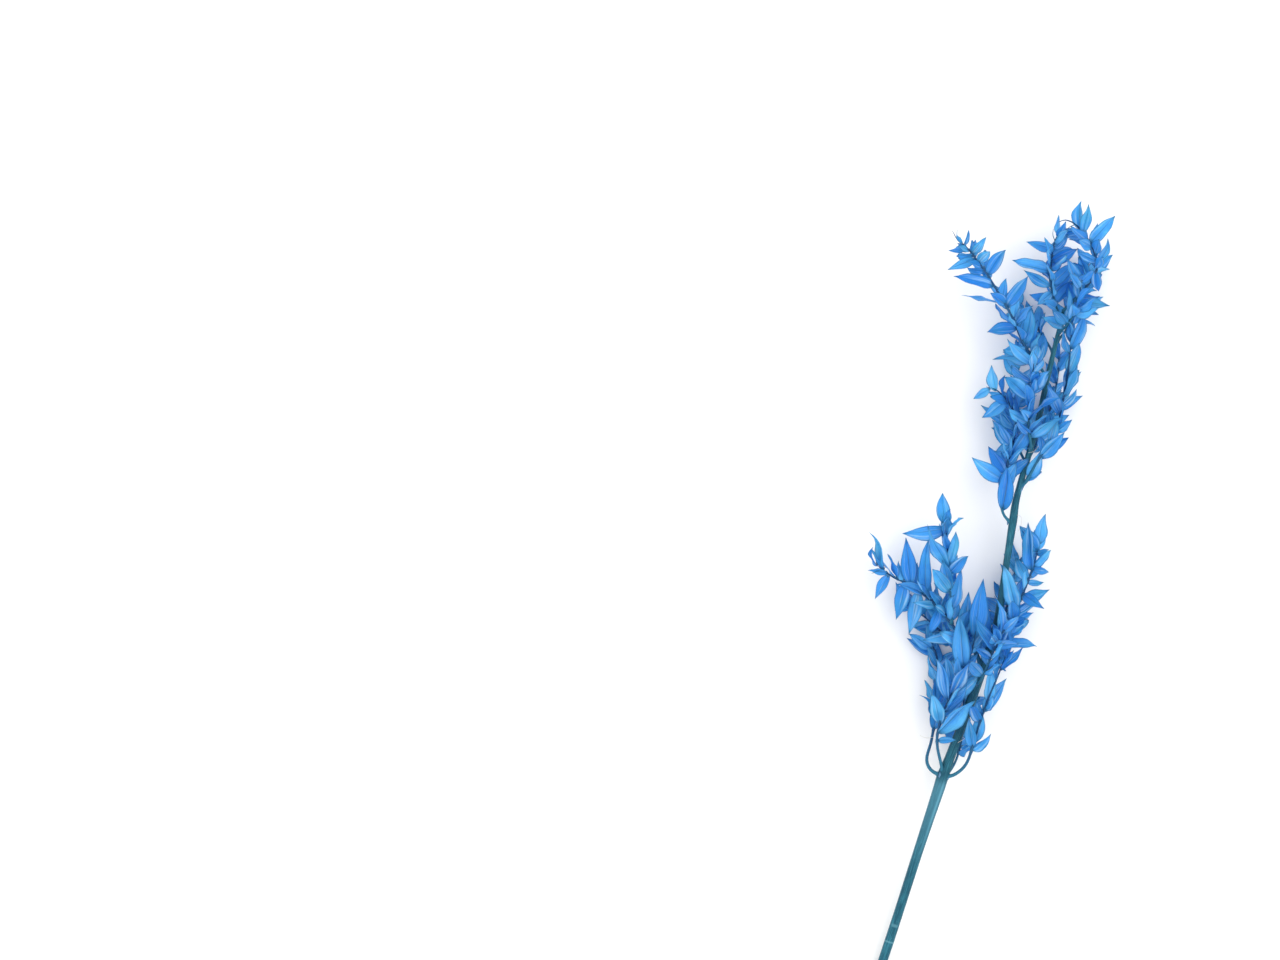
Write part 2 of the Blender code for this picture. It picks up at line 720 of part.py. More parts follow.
def make_spray(name, grown, cutter, collection, colour):
    """One spray: its twigs and leaves fused in one solid, trimmed where it meets the stem."""
    pieces = bpy.data.collections.new(name + "_pieces")
    collection.children.link(pieces)
    body = None
    for number, (twig, line, leaves) in enumerate(grown):
        stalk = tube(f"{name}_twig_{number}", line, twig_radii(twig, line), TWIG_ROUNDNESS, pieces)
        body = body or stalk
        for count, leaf in enumerate(leaves):
            blade(f"{name}_leaf_{number}_{count}", leaf, pieces)
    collection.objects.link(body)
    pieces.objects.unlink(body)
    boolean(body, "UNION", operand_type="COLLECTION", collection=pieces)
    boolean(body, "DIFFERENCE", object=cutter)
    spray = applied(body, name, collection)
    for piece in list(pieces.objects):
        bpy.data.objects.remove(piece)
    bpy.data.collections.remove(pieces)
    spray.data.materials.clear()
    spray.data.materials.append(colour)
    return spray


def centre_on_origin(nodes, collection):
    """Hangs every node on one empty, placed so that the middle of the whole lies over the origin."""
    points = [node.matrix_world @ vert.co for node in nodes for vert in node.data.vertices]
    middle = [(min(p[k] for p in points) + max(p[k] for p in points)) / 2 for k in range(2)]
    holder = bpy.data.objects.new("ruscus_stem", None)
    collection.objects.link(holder)
    holder.location = (-middle[0], -middle[1], 0)
    for node in nodes:
        node.parent = holder


def main():
    for old in list(bpy.data.objects):
        bpy.data.objects.remove(old)
    parts = bpy.data.collections.new("dried_ruscus_stem")
    cutters = bpy.data.collections.new("cutters")
    for collection in (parts, cutters):
        bpy.context.scene.collection.children.link(collection)
    stem_colour = material("stem_teal", (0.025, 0.15, 0.21), 0.5)
    leaf_colour = material("leaf_blue", (0.03, 0.23, 0.66), 0.45)
    cutter = stem_cutter(cutters)
    nodes = [make_stem(parts, stem_colour)]
    for name, grown in grow().items():
        nodes.append(make_spray(name, grown, cutter, parts, leaf_colour))
    centre_on_origin(nodes, parts)


main()
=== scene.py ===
"""The dressed model of a blue dried ruscus stem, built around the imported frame.

The stem lies along +Y on a pale floor and is looked down on. The layout sets every twig and leaf
where the frame has it, and each spray of the frame is replaced by one with finer leaves, twigs,
scales and tendrils in the same places, and with further leaves. Lengths in the layout are in mm,
and SHIFT moves them into the frame, which has its middle over the origin.
"""

import math
import random
from dataclasses import dataclass

import bmesh
import bpy
from bpy.props import FloatProperty, FloatVectorProperty, IntProperty, PointerProperty
from mathutils import Matrix, Quaternion, Vector
from mathutils.bvhtree import BVHTree


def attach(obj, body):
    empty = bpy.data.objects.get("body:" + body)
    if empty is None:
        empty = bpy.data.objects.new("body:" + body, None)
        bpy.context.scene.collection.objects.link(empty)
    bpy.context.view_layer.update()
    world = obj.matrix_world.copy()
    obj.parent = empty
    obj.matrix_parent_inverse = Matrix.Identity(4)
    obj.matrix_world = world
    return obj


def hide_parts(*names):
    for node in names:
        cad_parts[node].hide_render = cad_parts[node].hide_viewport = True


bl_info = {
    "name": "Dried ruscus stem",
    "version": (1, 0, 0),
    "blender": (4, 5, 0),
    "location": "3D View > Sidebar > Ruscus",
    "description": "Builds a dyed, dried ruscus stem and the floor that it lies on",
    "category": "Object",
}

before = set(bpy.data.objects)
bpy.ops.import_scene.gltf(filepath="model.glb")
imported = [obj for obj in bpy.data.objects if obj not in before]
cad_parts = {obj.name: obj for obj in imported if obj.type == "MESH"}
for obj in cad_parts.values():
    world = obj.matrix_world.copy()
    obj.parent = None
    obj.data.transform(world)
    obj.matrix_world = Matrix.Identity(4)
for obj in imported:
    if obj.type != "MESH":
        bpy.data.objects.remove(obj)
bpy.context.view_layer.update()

MM = 0.001
UP = Vector((0, 0, 1))
GROWTH = Vector((0, 1, 0))
SHIFT = Vector((18.2347, -303.1989, 0))

# Points worked out on each stretch of a route before they are spaced evenly
ROUTE_FINENESS = 20

# Main stem, from the cut end to the tip where the last twigs fork: x, y, z, radius
STEM_ROUTE = (
    (1.0, 0, 2.6, 2.9),
    (1.5, 14, 2.7, 3.0),
    (6.4, 120, 7, 2.95),
    (8.3, 190, 12, 3.0),
    (9.6, 228, 14.5, 3.6),
    (9.8, 239, 15, 3.8),
    (10.8, 252, 16, 3.1),
    (12.9, 280, 17.5, 3.0),
    (14.7, 312, 19, 3.1),
    (15.4, 340, 20.5, 2.4),
    (10.3, 381, 22, 2.15),
    (7.2, 405, 23, 2.6),
    (5.4, 421, 23.5, 2.1),
    (5.1, 465, 25, 1.9),
    (3.2, 494, 26, 1.8),
    (1.2, 537, 27, 1.15),
)
STEM_STEP = 17
CUT_ANGLE = 40
CUT_FOOT = 0.5

# Side twigs
TWIG_STEP = 10
TWIG_TAPER = 0.8
TWIG_TIP_RADIUS = 0.42

# Leaf blades: shares of the length and of the half width where a blade has points, and its outline
BLADE_THICKNESS = 0.6
BLADE_ROWS = (0, 0.14, 0.37, 0.67, 1)
BLADE_COLUMNS = (-1, 0, 1)
BASE_FULLNESS = 0.75
TIP_SHARPNESS = 1.2
BROAD_LENGTH = 19

# Leaves that reach the surface are pressed flat on it
PRESS_DEPTH = 3.5
PRESSED_BEND = 0.02
PRESSED_FOLD = 0.06

# How leaves are set along a twig, and how they are turned to find room
GOLDEN_TURN = 137.5
SPREAD_CLOSING = 20
LIFTS = (0, 3, -3, 6, -6, 9, -9)
ROLLS = (0, 20, -20, 40, -40)
GUESSES = 160
GUESS_SHRINK = 0.35
SEED = 71

# Gap round a twig's foot, clearances between leaves, and how near points are merged
SEAT_GAP = 0.3
LEAF_CLEARANCE = 0.4
OWN_CLEARANCE = 0.1
WELD = 0.01


@dataclass
class Twig:
    """One twig: the points it runs through in mm, root first, and the leaves it carries.

    thick is its radius at the root, and longest and shortest are the leaves' lengths at its two
    ends. Shares of it are bare at the root and end in a tendril. The first leaf stands at the
    angle first, leaves spread from the twig by the angle spread, and pull turns them the way the
    stem grows. Leaves given one by one are (share of the twig, tip, roll)."""

    route: tuple
    leaves: int
    longest: float
    shortest: float
    thick: float = 0.9
    bare: float = 0.2
    tendril: float = 0.0
    first: float = 0.0
    spread: float = 60
    pull: float = 0.0
    placed: tuple = ()


@dataclass
class Leaf:
    """One leaf: its root, the way it points, the way it faces, and how it is shaped."""

    root: Vector
    direction: Vector
    normal: Vector
    length: float
    width: float
    bend: float
    fold: float
    twist: float


# Every spray: its twig, and in one spray a side twig that forks off
SPRAYS = {
    "low_left_spray": [Twig(
        ((9.8, 239, 15), (1.5, 241, 15.5), (-2.8, 247, 15), (-3, 259, 13), (-5, 277, 10), (-8, 291, 8),
        (-12, 305, 8), (-17, 314, 9), (-28, 318, 12)),
        leaves=6, longest=19, shortest=14, thick=1.2, bare=0.4, first=200, spread=38,
        placed=((0.48, (-11, 296, 16), 10), (0.88, (-35, 320, 11), -25)),
    )],
    "low_inner_spray": [Twig(
        ((9.8, 239, 15), (6.5, 246, 19), (1, 256, 22), (-1.5, 265, 23), (-1.5, 277, 25), (0, 293, 28),
        (2, 306, 31), (4, 318, 33), (3, 332, 34)),
        leaves=5, longest=24, shortest=16, thick=1.1, bare=0.3, first=90, spread=38, pull=0.3,
        placed=((0.95, (-2, 364, 35), 15), (0.6, (-10, 312, 31), -20), (0.55, (4, 314, 33), 25)),
    )],
    "low_right_spray": [Twig(
        ((9.8, 239, 15), (16, 242, 17), (21, 250, 20), (22, 262, 22), (22, 277, 24), (22.5, 293, 27),
        (24, 308, 30), (25, 322, 32)),
        leaves=7, longest=20, shortest=15, thick=1.2, bare=0.3, first=-60, spread=36, pull=0.2,
        placed=((0.36, (21, 286, 25), -20), (0.32, (14, 279, 27), 15), (0.66, (18, 313, 29), 20)),
    )],
    "low_under_spray": [Twig(
        ((9, 238, 14), (14, 244, 9), (16, 255, 6), (14, 274, 5), (9, 292, 5), (3, 309, 5.5)),
        leaves=6, longest=19, shortest=14, bare=0.25, first=30,
    )],
    "middle_left_spray": [Twig(
        ((14, 311, 19), (7.4, 319, 21), (-3, 325, 24), (-12, 332, 26), (-20, 338, 27), (-30, 343, 27),
        (-38, 347, 26), (-46, 348.5, 25), (-55, 350, 23), (-66, 354, 21)),
        leaves=8, longest=22, shortest=16, thick=1.4, bare=0.12, first=0, spread=50, pull=0.4,
        placed=((0.24, (-7, 355, 26), -20), (0.62, (-44, 379, 29), 30), (0.74, (-53, 376, 24), -15),
        (0.78, (-45, 325, 24), 10), (0.15, (-14, 319, 20), 20), (0.29, (-26, 318, 21), -15),
        (0.53, (-39, 338, 31), 20)),
    ), Twig(
        ((-12, 332, 26), (-15, 341, 30), (-20, 354, 33), (-26, 371, 34), (-31, 384, 34), (-34, 392, 34)),
        leaves=8, longest=20, shortest=16, bare=0.14, first=120, spread=40, pull=0.25,
        placed=((0.97, (-42, 409, 34), 15), (0.93, (-57, 376, 36), -20), (0.14, (-15, 366, 34), 20),
        (0.34, (-29, 369, 37), -25), (0.58, (-23, 388, 38), 30)),
    )],
    "middle_right_spray": [Twig(
        ((14, 308, 19), (19, 313, 21), (23, 322, 23), (23.5, 338, 24), (24.5, 352, 24), (26, 365, 23),
        (27.5, 381, 21), (27, 397, 19)),
        leaves=8, longest=19, shortest=14, thick=1.1, bare=0.14, first=40, spread=42,
        placed=((0.97, (25, 413, 22), 20), (0.9, (34, 393, 25), -30), (0.8, (38, 381, 27), 35),
        (0.7, (36, 371, 16), -25), (0.62, (40, 357, 31), 10), (0.92, (10, 403, 22), -20),
        (0.27, (43, 336, 26), 20), (0.13, (34, 326, 22), -20), (0.15, (24, 339, 32), 10)),
    )],
    "middle_front_spray": [Twig(
        ((13.8, 300, 18.4), (15, 303, 25), (16, 312, 31), (17, 325, 36), (19, 338, 40)),
        leaves=6, longest=20, shortest=15, bare=0.22, first=10, spread=48,
    )],
    "middle_under_spray": [Twig(
        ((14.2, 318, 19.4), (18, 324, 12), (21, 336, 7), (20, 352, 5.5), (19, 368, 5.5), (20, 384, 6)),
        leaves=8, longest=20, shortest=14, bare=0.25, first=80,
    )],
    "middle_low_spray": [Twig(
        ((14, 306, 18.7), (6, 311, 12), (-4, 318, 7), (-15, 325, 5.5), (-27, 331, 5.5), (-39, 335, 6)),
        leaves=7, longest=21, shortest=15, bare=0.24, first=140,
    )],
    "upper_left_spray": [Twig(
        ((6.8, 402, 22.8), (0.6, 406, 24), (-2.7, 412, 25), (-4, 418, 26), (-5.7, 433, 27),
        (-6.4, 449, 28), (-8.3, 464, 29), (-13.5, 471, 30), (-20, 476, 30), (-26, 479, 29),
        (-32, 479, 28)),
        leaves=9, longest=21, shortest=13, bare=0.3, tendril=0.05, first=160, spread=46, pull=0.15,
        placed=((0.3, (-31, 434, 30), 15), (0.93, (-33, 493, 29), -20), (0.97, (-38, 470, 26), 25),
        (0.84, (-29, 458, 31), 30), (0.22, (-1, 440, 29), -20)),
    )],
    "upper_front_spray": [Twig(
        ((5.3, 450, 24.5), (3, 455, 31), (-1, 463, 35), (-4, 474, 38), (-6, 487, 39), (-9, 502, 39)),
        leaves=9, longest=21, shortest=16, bare=0.18, first=-30, spread=52,
        placed=((0.35, (-20, 468, 40), 20), (0.6, (-26, 490, 43), -15)),
    )],
    "upper_right_spray": [Twig(
        ((5.5, 424, 23.6), (8.5, 431, 26), (10.5, 441, 28), (13, 450, 29), (16, 460, 29), (17, 473, 29),
        (15.5, 487, 30), (14, 501, 31), (11, 516, 33), (8, 530, 35)),
        leaves=9, longest=19, shortest=16, thick=1.0, bare=0.2, first=20, spread=34, pull=0.15,
        placed=((0.54, (23, 492, 33), 30), (0.72, (17, 523, 33), -15), (0.86, (15, 541, 31), 20),
        (0.08, (12, 451, 28), -20), (0.32, (14, 474, 34), 10)),
    )],
    "upper_under_spray": [Twig(
        ((5.4, 432, 23.8), (6, 438, 16), (8, 448, 10), (11, 462, 6.5), (12, 480, 5.5), (11, 498, 5.5),
        (8, 512, 6)),
        leaves=9, longest=21, shortest=15, bare=0.22, first=70, spread=44,
    )],
    "upper_low_spray": [Twig(
        ((5.4, 440, 24.1), (0, 447, 17), (-5, 456, 10), (-9, 470, 6.5), (-12, 486, 5.5), (-15, 503, 6)),
        leaves=7, longest=21, shortest=15, bare=0.24, first=190,
    )],
    "long_left_spray": [Twig(
        ((3.4, 494, 26), (-4, 500.5, 29), (-17, 510, 33), (-25.6, 520.7, 35), (-33, 528.5, 36),
        (-50, 544.6, 36), (-62.5, 554.6, 34), (-68, 558.4, 33), (-74, 561, 32), (-79, 566, 31)),
        leaves=5, longest=20, shortest=11, thick=1.0, bare=0.1, tendril=0.13, first=100, spread=50,
        placed=((0.34, (-43, 513, 32), 20), (0.48, (-27, 551, 41), -15), (0.5, (-62, 527, 30), 75),
        (0.61, (-71, 540, 39), 20), (0.68, (-46, 565, 38), -20), (0.77, (-53, 561, 45), 10),
        (0.79, (-76, 543, 31), -30), (0.83, (-59, 569, 37), 25), (0.87, (-77, 553, 31), 15),
        (0.89, (-70, 569, 35), 60), (0.46, (-42, 541, 33), 20), (0.24, (-19, 535, 39), -20),
        (0.17, (-28, 503, 27), 20)),
    )],
    "top_left_spray": [Twig(
        ((1.6, 532, 26.9), (-4, 538, 29), (-8, 545, 30), (-13, 554.6, 31), (-14, 560, 31),
        (-16, 569.5, 32), (-16.4, 576, 32), (-15.5, 583, 32)),
        leaves=6, longest=20, shortest=15, bare=0.12, first=180, spread=50,
        placed=((0.56, (-39, 557, 33), 20), (0.8, (-33, 572, 31), -25), (0.95, (-13, 590, 37), 15),
        (0.67, (-2, 577, 33), 25), (0.41, (-1, 568, 35), -20), (0.2, (-22, 541, 33), 20),
        (0.33, (-17, 535, 26), -20)),
    )],
    "top_right_spray": [Twig(
        ((1.2, 537, 27), (7, 549, 30), (12, 560, 32), (13.3, 566, 33), (12.5, 571, 34), (8, 578, 35),
        (4.6, 582, 36), (0.6, 585, 36), (-4, 588.5, 36), (-9, 591, 35), (-14, 591.3, 34),
        (-17.5, 589, 33)),
        leaves=5, longest=20, shortest=15, thick=1.0, bare=0.06, tendril=0.17, first=-20, spread=50,
        placed=((0.05, (22, 542, 30), 20), (0.42, (17, 552, 39), -10), (0.47, (20, 586, 30), -65),
        (0.66, (15, 602, 39), 10), (0.76, (-3, 604, 42), 20), (0.8, (-9, 606, 34), -30),
        (0.5, (-4, 573, 40), 20), (0.35, (-1, 554, 38), -15), (0.27, (6, 548, 22), 20),
        (0.74, (-11, 581, 38), -20)),
    )],
    "top_front_spray": [Twig(
        ((2.2, 524, 26.7), (5, 529, 33), (7, 538, 38), (7, 548, 41), (5, 556, 43)),
        leaves=6, longest=20, shortest=15, bare=0.22, first=45, spread=52,
        placed=((0.15, (-12, 529, 36), 20),),
    )],
    "top_under_spray": [Twig(
        ((2.4, 518, 26.5), (6, 525, 19), (10, 536, 12), (12.5, 549, 8), (12.5, 561, 6), (9, 572, 6)),
        leaves=7, longest=20, shortest=14, bare=0.26, first=100,
    )],
    "top_low_spray": [Twig(
        ((2.8, 510, 26.3), (-2, 516, 18), (-8, 522, 11), (-14, 527, 7), (-22, 531, 5.5),
        (-31, 536, 5.5)),
        leaves=6, longest=19, shortest=14, bare=0.28, first=220,
    )],
}


def smooth_route(points, step):
    """Evenly spaced points, in mm, on a smooth curve through the given ones."""
    knots = [Vector(point[:3]) for point in points]
    knots = [2 * knots[0] - knots[1], *knots, 2 * knots[-1] - knots[-2]]
    fine = []
    for before, here, there, after in zip(knots, knots[1:], knots[2:], knots[3:]):
        for part in range(ROUTE_FINENESS):
            s = part / ROUTE_FINENESS
            bow = 2 * before - 5 * here + 4 * there - after
            sway = 3 * here - before - 3 * there + after
            fine.append(0.5 * (2 * here + (there - before) * s + bow * s**2 + sway * s**3))
    fine.append(knots[-2])
    travelled = [0.0]
    for a, b in zip(fine, fine[1:]):
        travelled.append(travelled[-1] + (b - a).length)
    count = max(3, round(travelled[-1] / step))
    return [point_along(fine, travelled, k / count) for k in range(count + 1)]


def point_along(points, travelled, share):
    """The point at a share, 0 to 1, of the length of a run of points."""
    goal = share * travelled[-1]
    for k in range(1, len(points)):
        if travelled[k] >= goal or k == len(points) - 1:
            span = travelled[k] - travelled[k - 1]
            return points[k - 1].lerp(points[k], (goal - travelled[k - 1]) / span)


def place_on(line, share):
    """(point, direction) at a share of the length of an evenly spaced line."""
    at = min(max(share, 0), 1) * (len(line) - 1)
    k = min(int(at), len(line) - 2)
    ahead = line[min(k + 2, len(line) - 1)] - line[max(k - 1, 0)]
    return line[k].lerp(line[k + 1], at - k), ahead.normalized()


def stem_radius(height):
    """Radius of the main stem at a distance from its cut end."""
    for (_, low, _, thick), (_, high, _, thin) in zip(STEM_ROUTE, STEM_ROUTE[1:]):
        if height <= high:
            return thick + (thin - thick) * max(0, height - low) / (high - low)
    return STEM_ROUTE[-1][3]


def stem_stations():
    """Points along the main stem: at each point of its route, and between those that lie far apart."""
    line = smooth_route(STEM_ROUTE, 1)
    wanted = [knot[1] for knot in STEM_ROUTE]
    between = range(STEM_STEP, STEM_ROUTE[-1][1], STEM_STEP)
    wanted += [h for h in between if min(abs(h - knot[1]) for knot in STEM_ROUTE) > STEM_STEP / 2]
    return [min(line, key=lambda point: abs(point.y - height)) for height in sorted(wanted)]


def twig_radii(twig, line):
    """Radius of a twig at each point of its line: it tapers from its root to its tip."""
    shares = [k / (len(line) - 1) for k in range(len(line))]
    return [twig.thick + (TWIG_TIP_RADIUS - twig.thick) * share**TWIG_TAPER for share in shares]


def outline(along):
    """Half width of a leaf, as a share of its widest, from root to sharp tip."""
    widest = BASE_FULLNESS / (BASE_FULLNESS + TIP_SHARPNESS)
    top = widest**BASE_FULLNESS * (1 - widest) ** TIP_SHARPNESS
    return along**BASE_FULLNESS * (1 - along) ** TIP_SHARPNESS / top


def blade_point(leaf, along, across, lift=0.0, grow=0.0):
    """A point of a leaf: along 0 to 1, across -1 to 1, lifted off its middle surface.

    The blade bends along its length, folds at the midrib, twists, and lies on the surface
    that the stem rests on where it would reach below it."""
    turn = leaf.bend * along
    ahead = math.sin(turn) / leaf.bend
    rise = (1 - math.cos(turn)) / leaf.bend
    centre = leaf.root + leaf.length * (ahead * leaf.direction + rise * leaf.normal)
    normal = math.cos(turn) * leaf.normal - math.sin(turn) * leaf.direction
    side = leaf.direction.cross(leaf.normal)
    roll = leaf.twist * along
    side, normal = (
        math.cos(roll) * side + math.sin(roll) * normal,
        math.cos(roll) * normal - math.sin(roll) * side,
    )
    half = leaf.width / 2 * outline(along) + grow
    point = centre + half * across * side + leaf.fold * half * abs(across) * normal
    point.z = max(point.z, BLADE_THICKNESS / 2)
    return point + lift * normal


def lowest(leaf):
    """Height of the lowest point of a leaf if nothing were under it."""
    heights = []
    for along in BLADE_ROWS:
        turn = leaf.bend * along
        rise = (1 - math.cos(turn)) / leaf.bend * leaf.normal.z
        ahead = math.sin(turn) / leaf.bend * leaf.direction.z
        half = leaf.width / 2 * outline(along)
        edge = abs(leaf.direction.cross(leaf.normal).z) * half
        heights.append(leaf.root.z + leaf.length * (rise + ahead) - edge)
    return min(heights)


def lay_down(leaf):
    """Turns a leaf that would reach below the surface so that its outer part lies flat on it."""
    if lowest(leaf) > BLADE_THICKNESS / 2:
        return
    steepest = -(leaf.root.z + PRESS_DEPTH) / leaf.length
    level = Vector((leaf.direction.x, leaf.direction.y, 0)).normalized()
    slope = max(leaf.direction.z, steepest)
    leaf.direction = (level * math.sqrt(1 - slope**2) + UP * slope).normalized()
    leaf.normal = (UP - UP.dot(leaf.direction) * leaf.direction).normalized()
    leaf.bend, leaf.fold, leaf.twist = PRESSED_BEND, PRESSED_FOLD, 0.0


def thick_blade(leaf, half_thickness, grow=0.0):
    """Points and faces of the closed blade that stands for a leaf where clearances are tested."""
    wide = len(BLADE_COLUMNS)
    spots = [(along, across) for along in BLADE_ROWS for across in BLADE_COLUMNS]
    points = [blade_point(leaf, *spot, half_thickness, grow) for spot in spots]
    points += [blade_point(leaf, *spot, -half_thickness, grow) for spot in spots]
    under = len(BLADE_ROWS) * wide
    faces = []
    for row in range(len(BLADE_ROWS) - 1):
        for column in range(wide - 1):
            a = row * wide + column
            quad = (a, a + 1, a + 1 + wide, a + wide)
            faces += [quad, tuple(k + under for k in quad)]
        for edge in (row * wide, row * wide + wide - 1):
            faces.append((edge, edge + wide, edge + wide + under, edge + under))
    return points, faces


def ring_tube(line, radii, sides=6):
    """Points and faces of a tube, which stands for a twig where clearances are tested."""
    points, faces = [], []
    for k, centre in enumerate(line):
        axis = line[min(k + 1, len(line) - 1)] - line[max(k - 1, 0)]
        turn = axis.to_track_quat("Z", "Y")
        for side in range(sides):
            angle = math.tau * side / sides
            spoke = Vector((math.cos(angle), math.sin(angle), 0)) * radii[k]
            points.append(centre + turn @ spoke)
    for k in range(len(line) - 1):
        for side in range(sides):
            a, b = k * sides + side, k * sides + (side + 1) % sides
            faces.append((a, b, b + sides, a + sides))
    return points, faces


class Crowd:
    """What is already in place, so that each new leaf can be turned clear of it.

    An owner is (spray, number of the twig), or (spray, None) for a leaf."""

    def __init__(self):
        self.things = []

    def add(self, points, faces, owner):
        self.things.append((*bounds(points), BVHTree.FromPolygons(points, faces), owner))

    def meets(self, leaf, twig_owner, between):
        """Whether a leaf comes nearer anything but its own twig than OWN_CLEARANCE in its own spray,
        or than the clearance between sprays."""
        for own, clearance in ((True, min(OWN_CLEARANCE, between)), (False, between)):
            points, faces = thick_blade(leaf, BLADE_THICKNESS / 2 + clearance, clearance)
            low, high = bounds(points)
            tree = BVHTree.FromPolygons(points, faces)
            for other_low, other_high, other, owner in self.things:
                if (owner[0] == twig_owner[0]) != own or owner == twig_owner:
                    continue
                if any(low[k] > other_high[k] or high[k] < other_low[k] for k in range(3)):
                    continue
                if tree.overlap(other):
                    return True
        return False


def bounds(points):
    """(lowest, highest) x, y and z of some points."""
    return [[pick(point[k] for point in points) for k in range(3)] for pick in (min, max)]


def width_of(length, chance):
    """The long leaves near the foot of a twig are narrower for their length."""
    return length * chance["breadth"] * math.sqrt(min(1, BROAD_LENGTH / length))


def leaf_from(twig, line, share, swing, shrink, chance):
    """The leaf that grows at a share of the twig, swung round it by an angle in degrees."""
    root, axis = place_on(line, share)
    across = axis.cross(UP).normalized()
    along_twig = (share - twig.bare) / (1 - twig.bare)
    spread = math.radians(twig.spread - SPREAD_CLOSING * along_twig + chance["spread"])
    radial = Quaternion(axis, math.radians(swing)) @ across
    direction = (math.cos(spread) * axis + math.sin(spread) * radial + twig.pull * GROWTH).normalized()
    normal = axis.cross(radial)
    normal = Quaternion(direction, math.radians(chance["roll"])) @ normal
    normal = (normal - normal.dot(direction) * direction).normalized()
    length = (twig.longest + (twig.shortest - twig.longest) * along_twig) * chance["size"] * shrink
    return Leaf(
        root, direction, normal, length, width_of(length, chance),
        chance["bend"], chance["fold"], chance["twist"],
    )


def leaf_to(line, share, tip, roll, chance):
    """A leaf whose root and tip are both given, facing up but for a roll in degrees."""
    root, _ = place_on(line, share)
    reach = Vector(tip) - root
    direction = reach.normalized()
    facing = (UP - UP.dot(direction) * direction).normalized()
    normal = Quaternion(direction, math.radians(roll)) @ facing
    return Leaf(
        root, direction, normal, reach.length, width_of(reach.length, chance),
        0.5 * chance["bend"], chance["fold"], 0.6 * chance["twist"],
    )


def chances(dice):
    """How one leaf differs from the next."""
    return {
        "roll": dice.uniform(-42, 42),
        "size": dice.uniform(0.86, 1.14),
        "breadth": dice.uniform(0.37, 0.48),
        "bend": dice.uniform(0.08, 0.75) * dice.choice((-1, 1, 1)),
        "fold": dice.uniform(0.1, 0.55),
        "twist": dice.uniform(-0.55, 0.55),
        "swing": dice.uniform(-16, 16),
    }


def clear_leaf(crowd, owner, tries, between=LEAF_CLEARANCE):
    """A list of the first of some leaves that meets nothing in place, or an empty one."""
    for leaf in tries:
        lay_down(leaf)
        if not crowd.meets(leaf, owner, between):
            crowd.add(*thick_blade(leaf, BLADE_THICKNESS / 2), (owner[0], None))
            return [leaf]
    return []


def lifted_leaves(line, share, tip, roll, chance):
    """A leaf with its tip given, then the same leaf rolled, lifted and lowered to find room."""
    for lift in LIFTS:
        for turn in ROLLS:
            yield leaf_to(line, share, Vector(tip) + lift * UP, roll + turn, chance)


def turned_leaves(twig, line, k, dice):
    """Leaf number k of a twig, then looser and smaller guesses at it to find room."""
    chance = chances(dice)
    room = (1 - twig.tendril - twig.bare) / twig.leaves
    for guess in range(GUESSES):
        loose = guess / GUESSES
        share = twig.bare + room * (k + 0.6 + dice.uniform(-0.8, 0.8) * min(1, 2 * loose))
        swing = twig.first + GOLDEN_TURN * k + chance["swing"] + dice.uniform(-180, 180) * loose
        chance["spread"] = dice.uniform(-9, 9) + dice.uniform(-18, 22) * loose
        yield leaf_from(twig, line, share, swing, 1 - GUESS_SHRINK * loose, chance)


def grow():
    """({(spray, number of the twig): (twig, its line, its leaves)}, the crowd that they make)."""
    crowd = Crowd()
    stations = stem_stations()
    stem = ring_tube(stations, [stem_radius(point.y) + SEAT_GAP for point in stations])
    crowd.add(*stem, ("main_stem", 0))
    grown = {}
    for spray, twigs in SPRAYS.items():
        for number, twig in enumerate(twigs):
            line = smooth_route(twig.route, TWIG_STEP)
            grown[spray, number] = (twig, line, [])
            crowd.add(*ring_tube(line, twig_radii(twig, line)), (spray, number))
    dice = random.Random(SEED)
    for owner, (twig, line, leaves) in grown.items():
        for share, tip, roll in twig.placed:
            tries = lifted_leaves(line, share, tip, roll, chances(dice))
            leaves += clear_leaf(crowd, owner, tries)
    for owner, (twig, line, leaves) in grown.items():
        for k in range(twig.leaves):
            leaves += clear_leaf(crowd, owner, turned_leaves(twig, line, k, dice))
    return grown, crowd


# Finished leaves, in mm and in shares of a leaf's length or half width: where a blade has points,
# and how far it departs from the plain blade
FINE_ROWS = (0, 0.03, 0.08, 0.15, 0.24, 0.34, 0.45, 0.57, 0.69, 0.8, 0.9, 1)
FINE_COLUMNS = (-1, -0.6, -0.14, 0, 0.14, 0.6, 1)
SCALE_ROWS = (0, 0.3, 0.7, 1)
SCALE_COLUMNS = (-1, 0, 1)
STALK_HALF_WIDTH = 0.36
STALK_SHARE = 0.16
MIDRIB_DEPTH = 0.09
MIDRIB_REACH = 0.14
TAPERED_FROM = 0.5
CURLED_FROM = 0.55
MARGIN_WAVES = 1.6
EDGE_THINNING = 0.5
FLOOR_GAP = 0.03
TORN_SHARES = (0, 0, 0, 0, 0, 0, 0, 0, 0.1, 0.24)
TORN_UNEVENNESS = 0.22

# Papery scales: under each leaf, and a larger one under the foot of each spray
SCALE_WIDTH_SHARE = 0.42
SCALE_BEND = 0.5
SCALE_FOLD = 0.6
SCALE_THICKNESS = 0.15
SCALE_LEAN = 0.5
FOOT_SCALE_LENGTH = 4.6
FOOT_SCALE_THICKNESS = 0.18
FOOT_SCALE_LEAN = 0.45
FOOT_SCALE_BELOW = 1.6
FOOT_SCALE_SUNK = 0.3

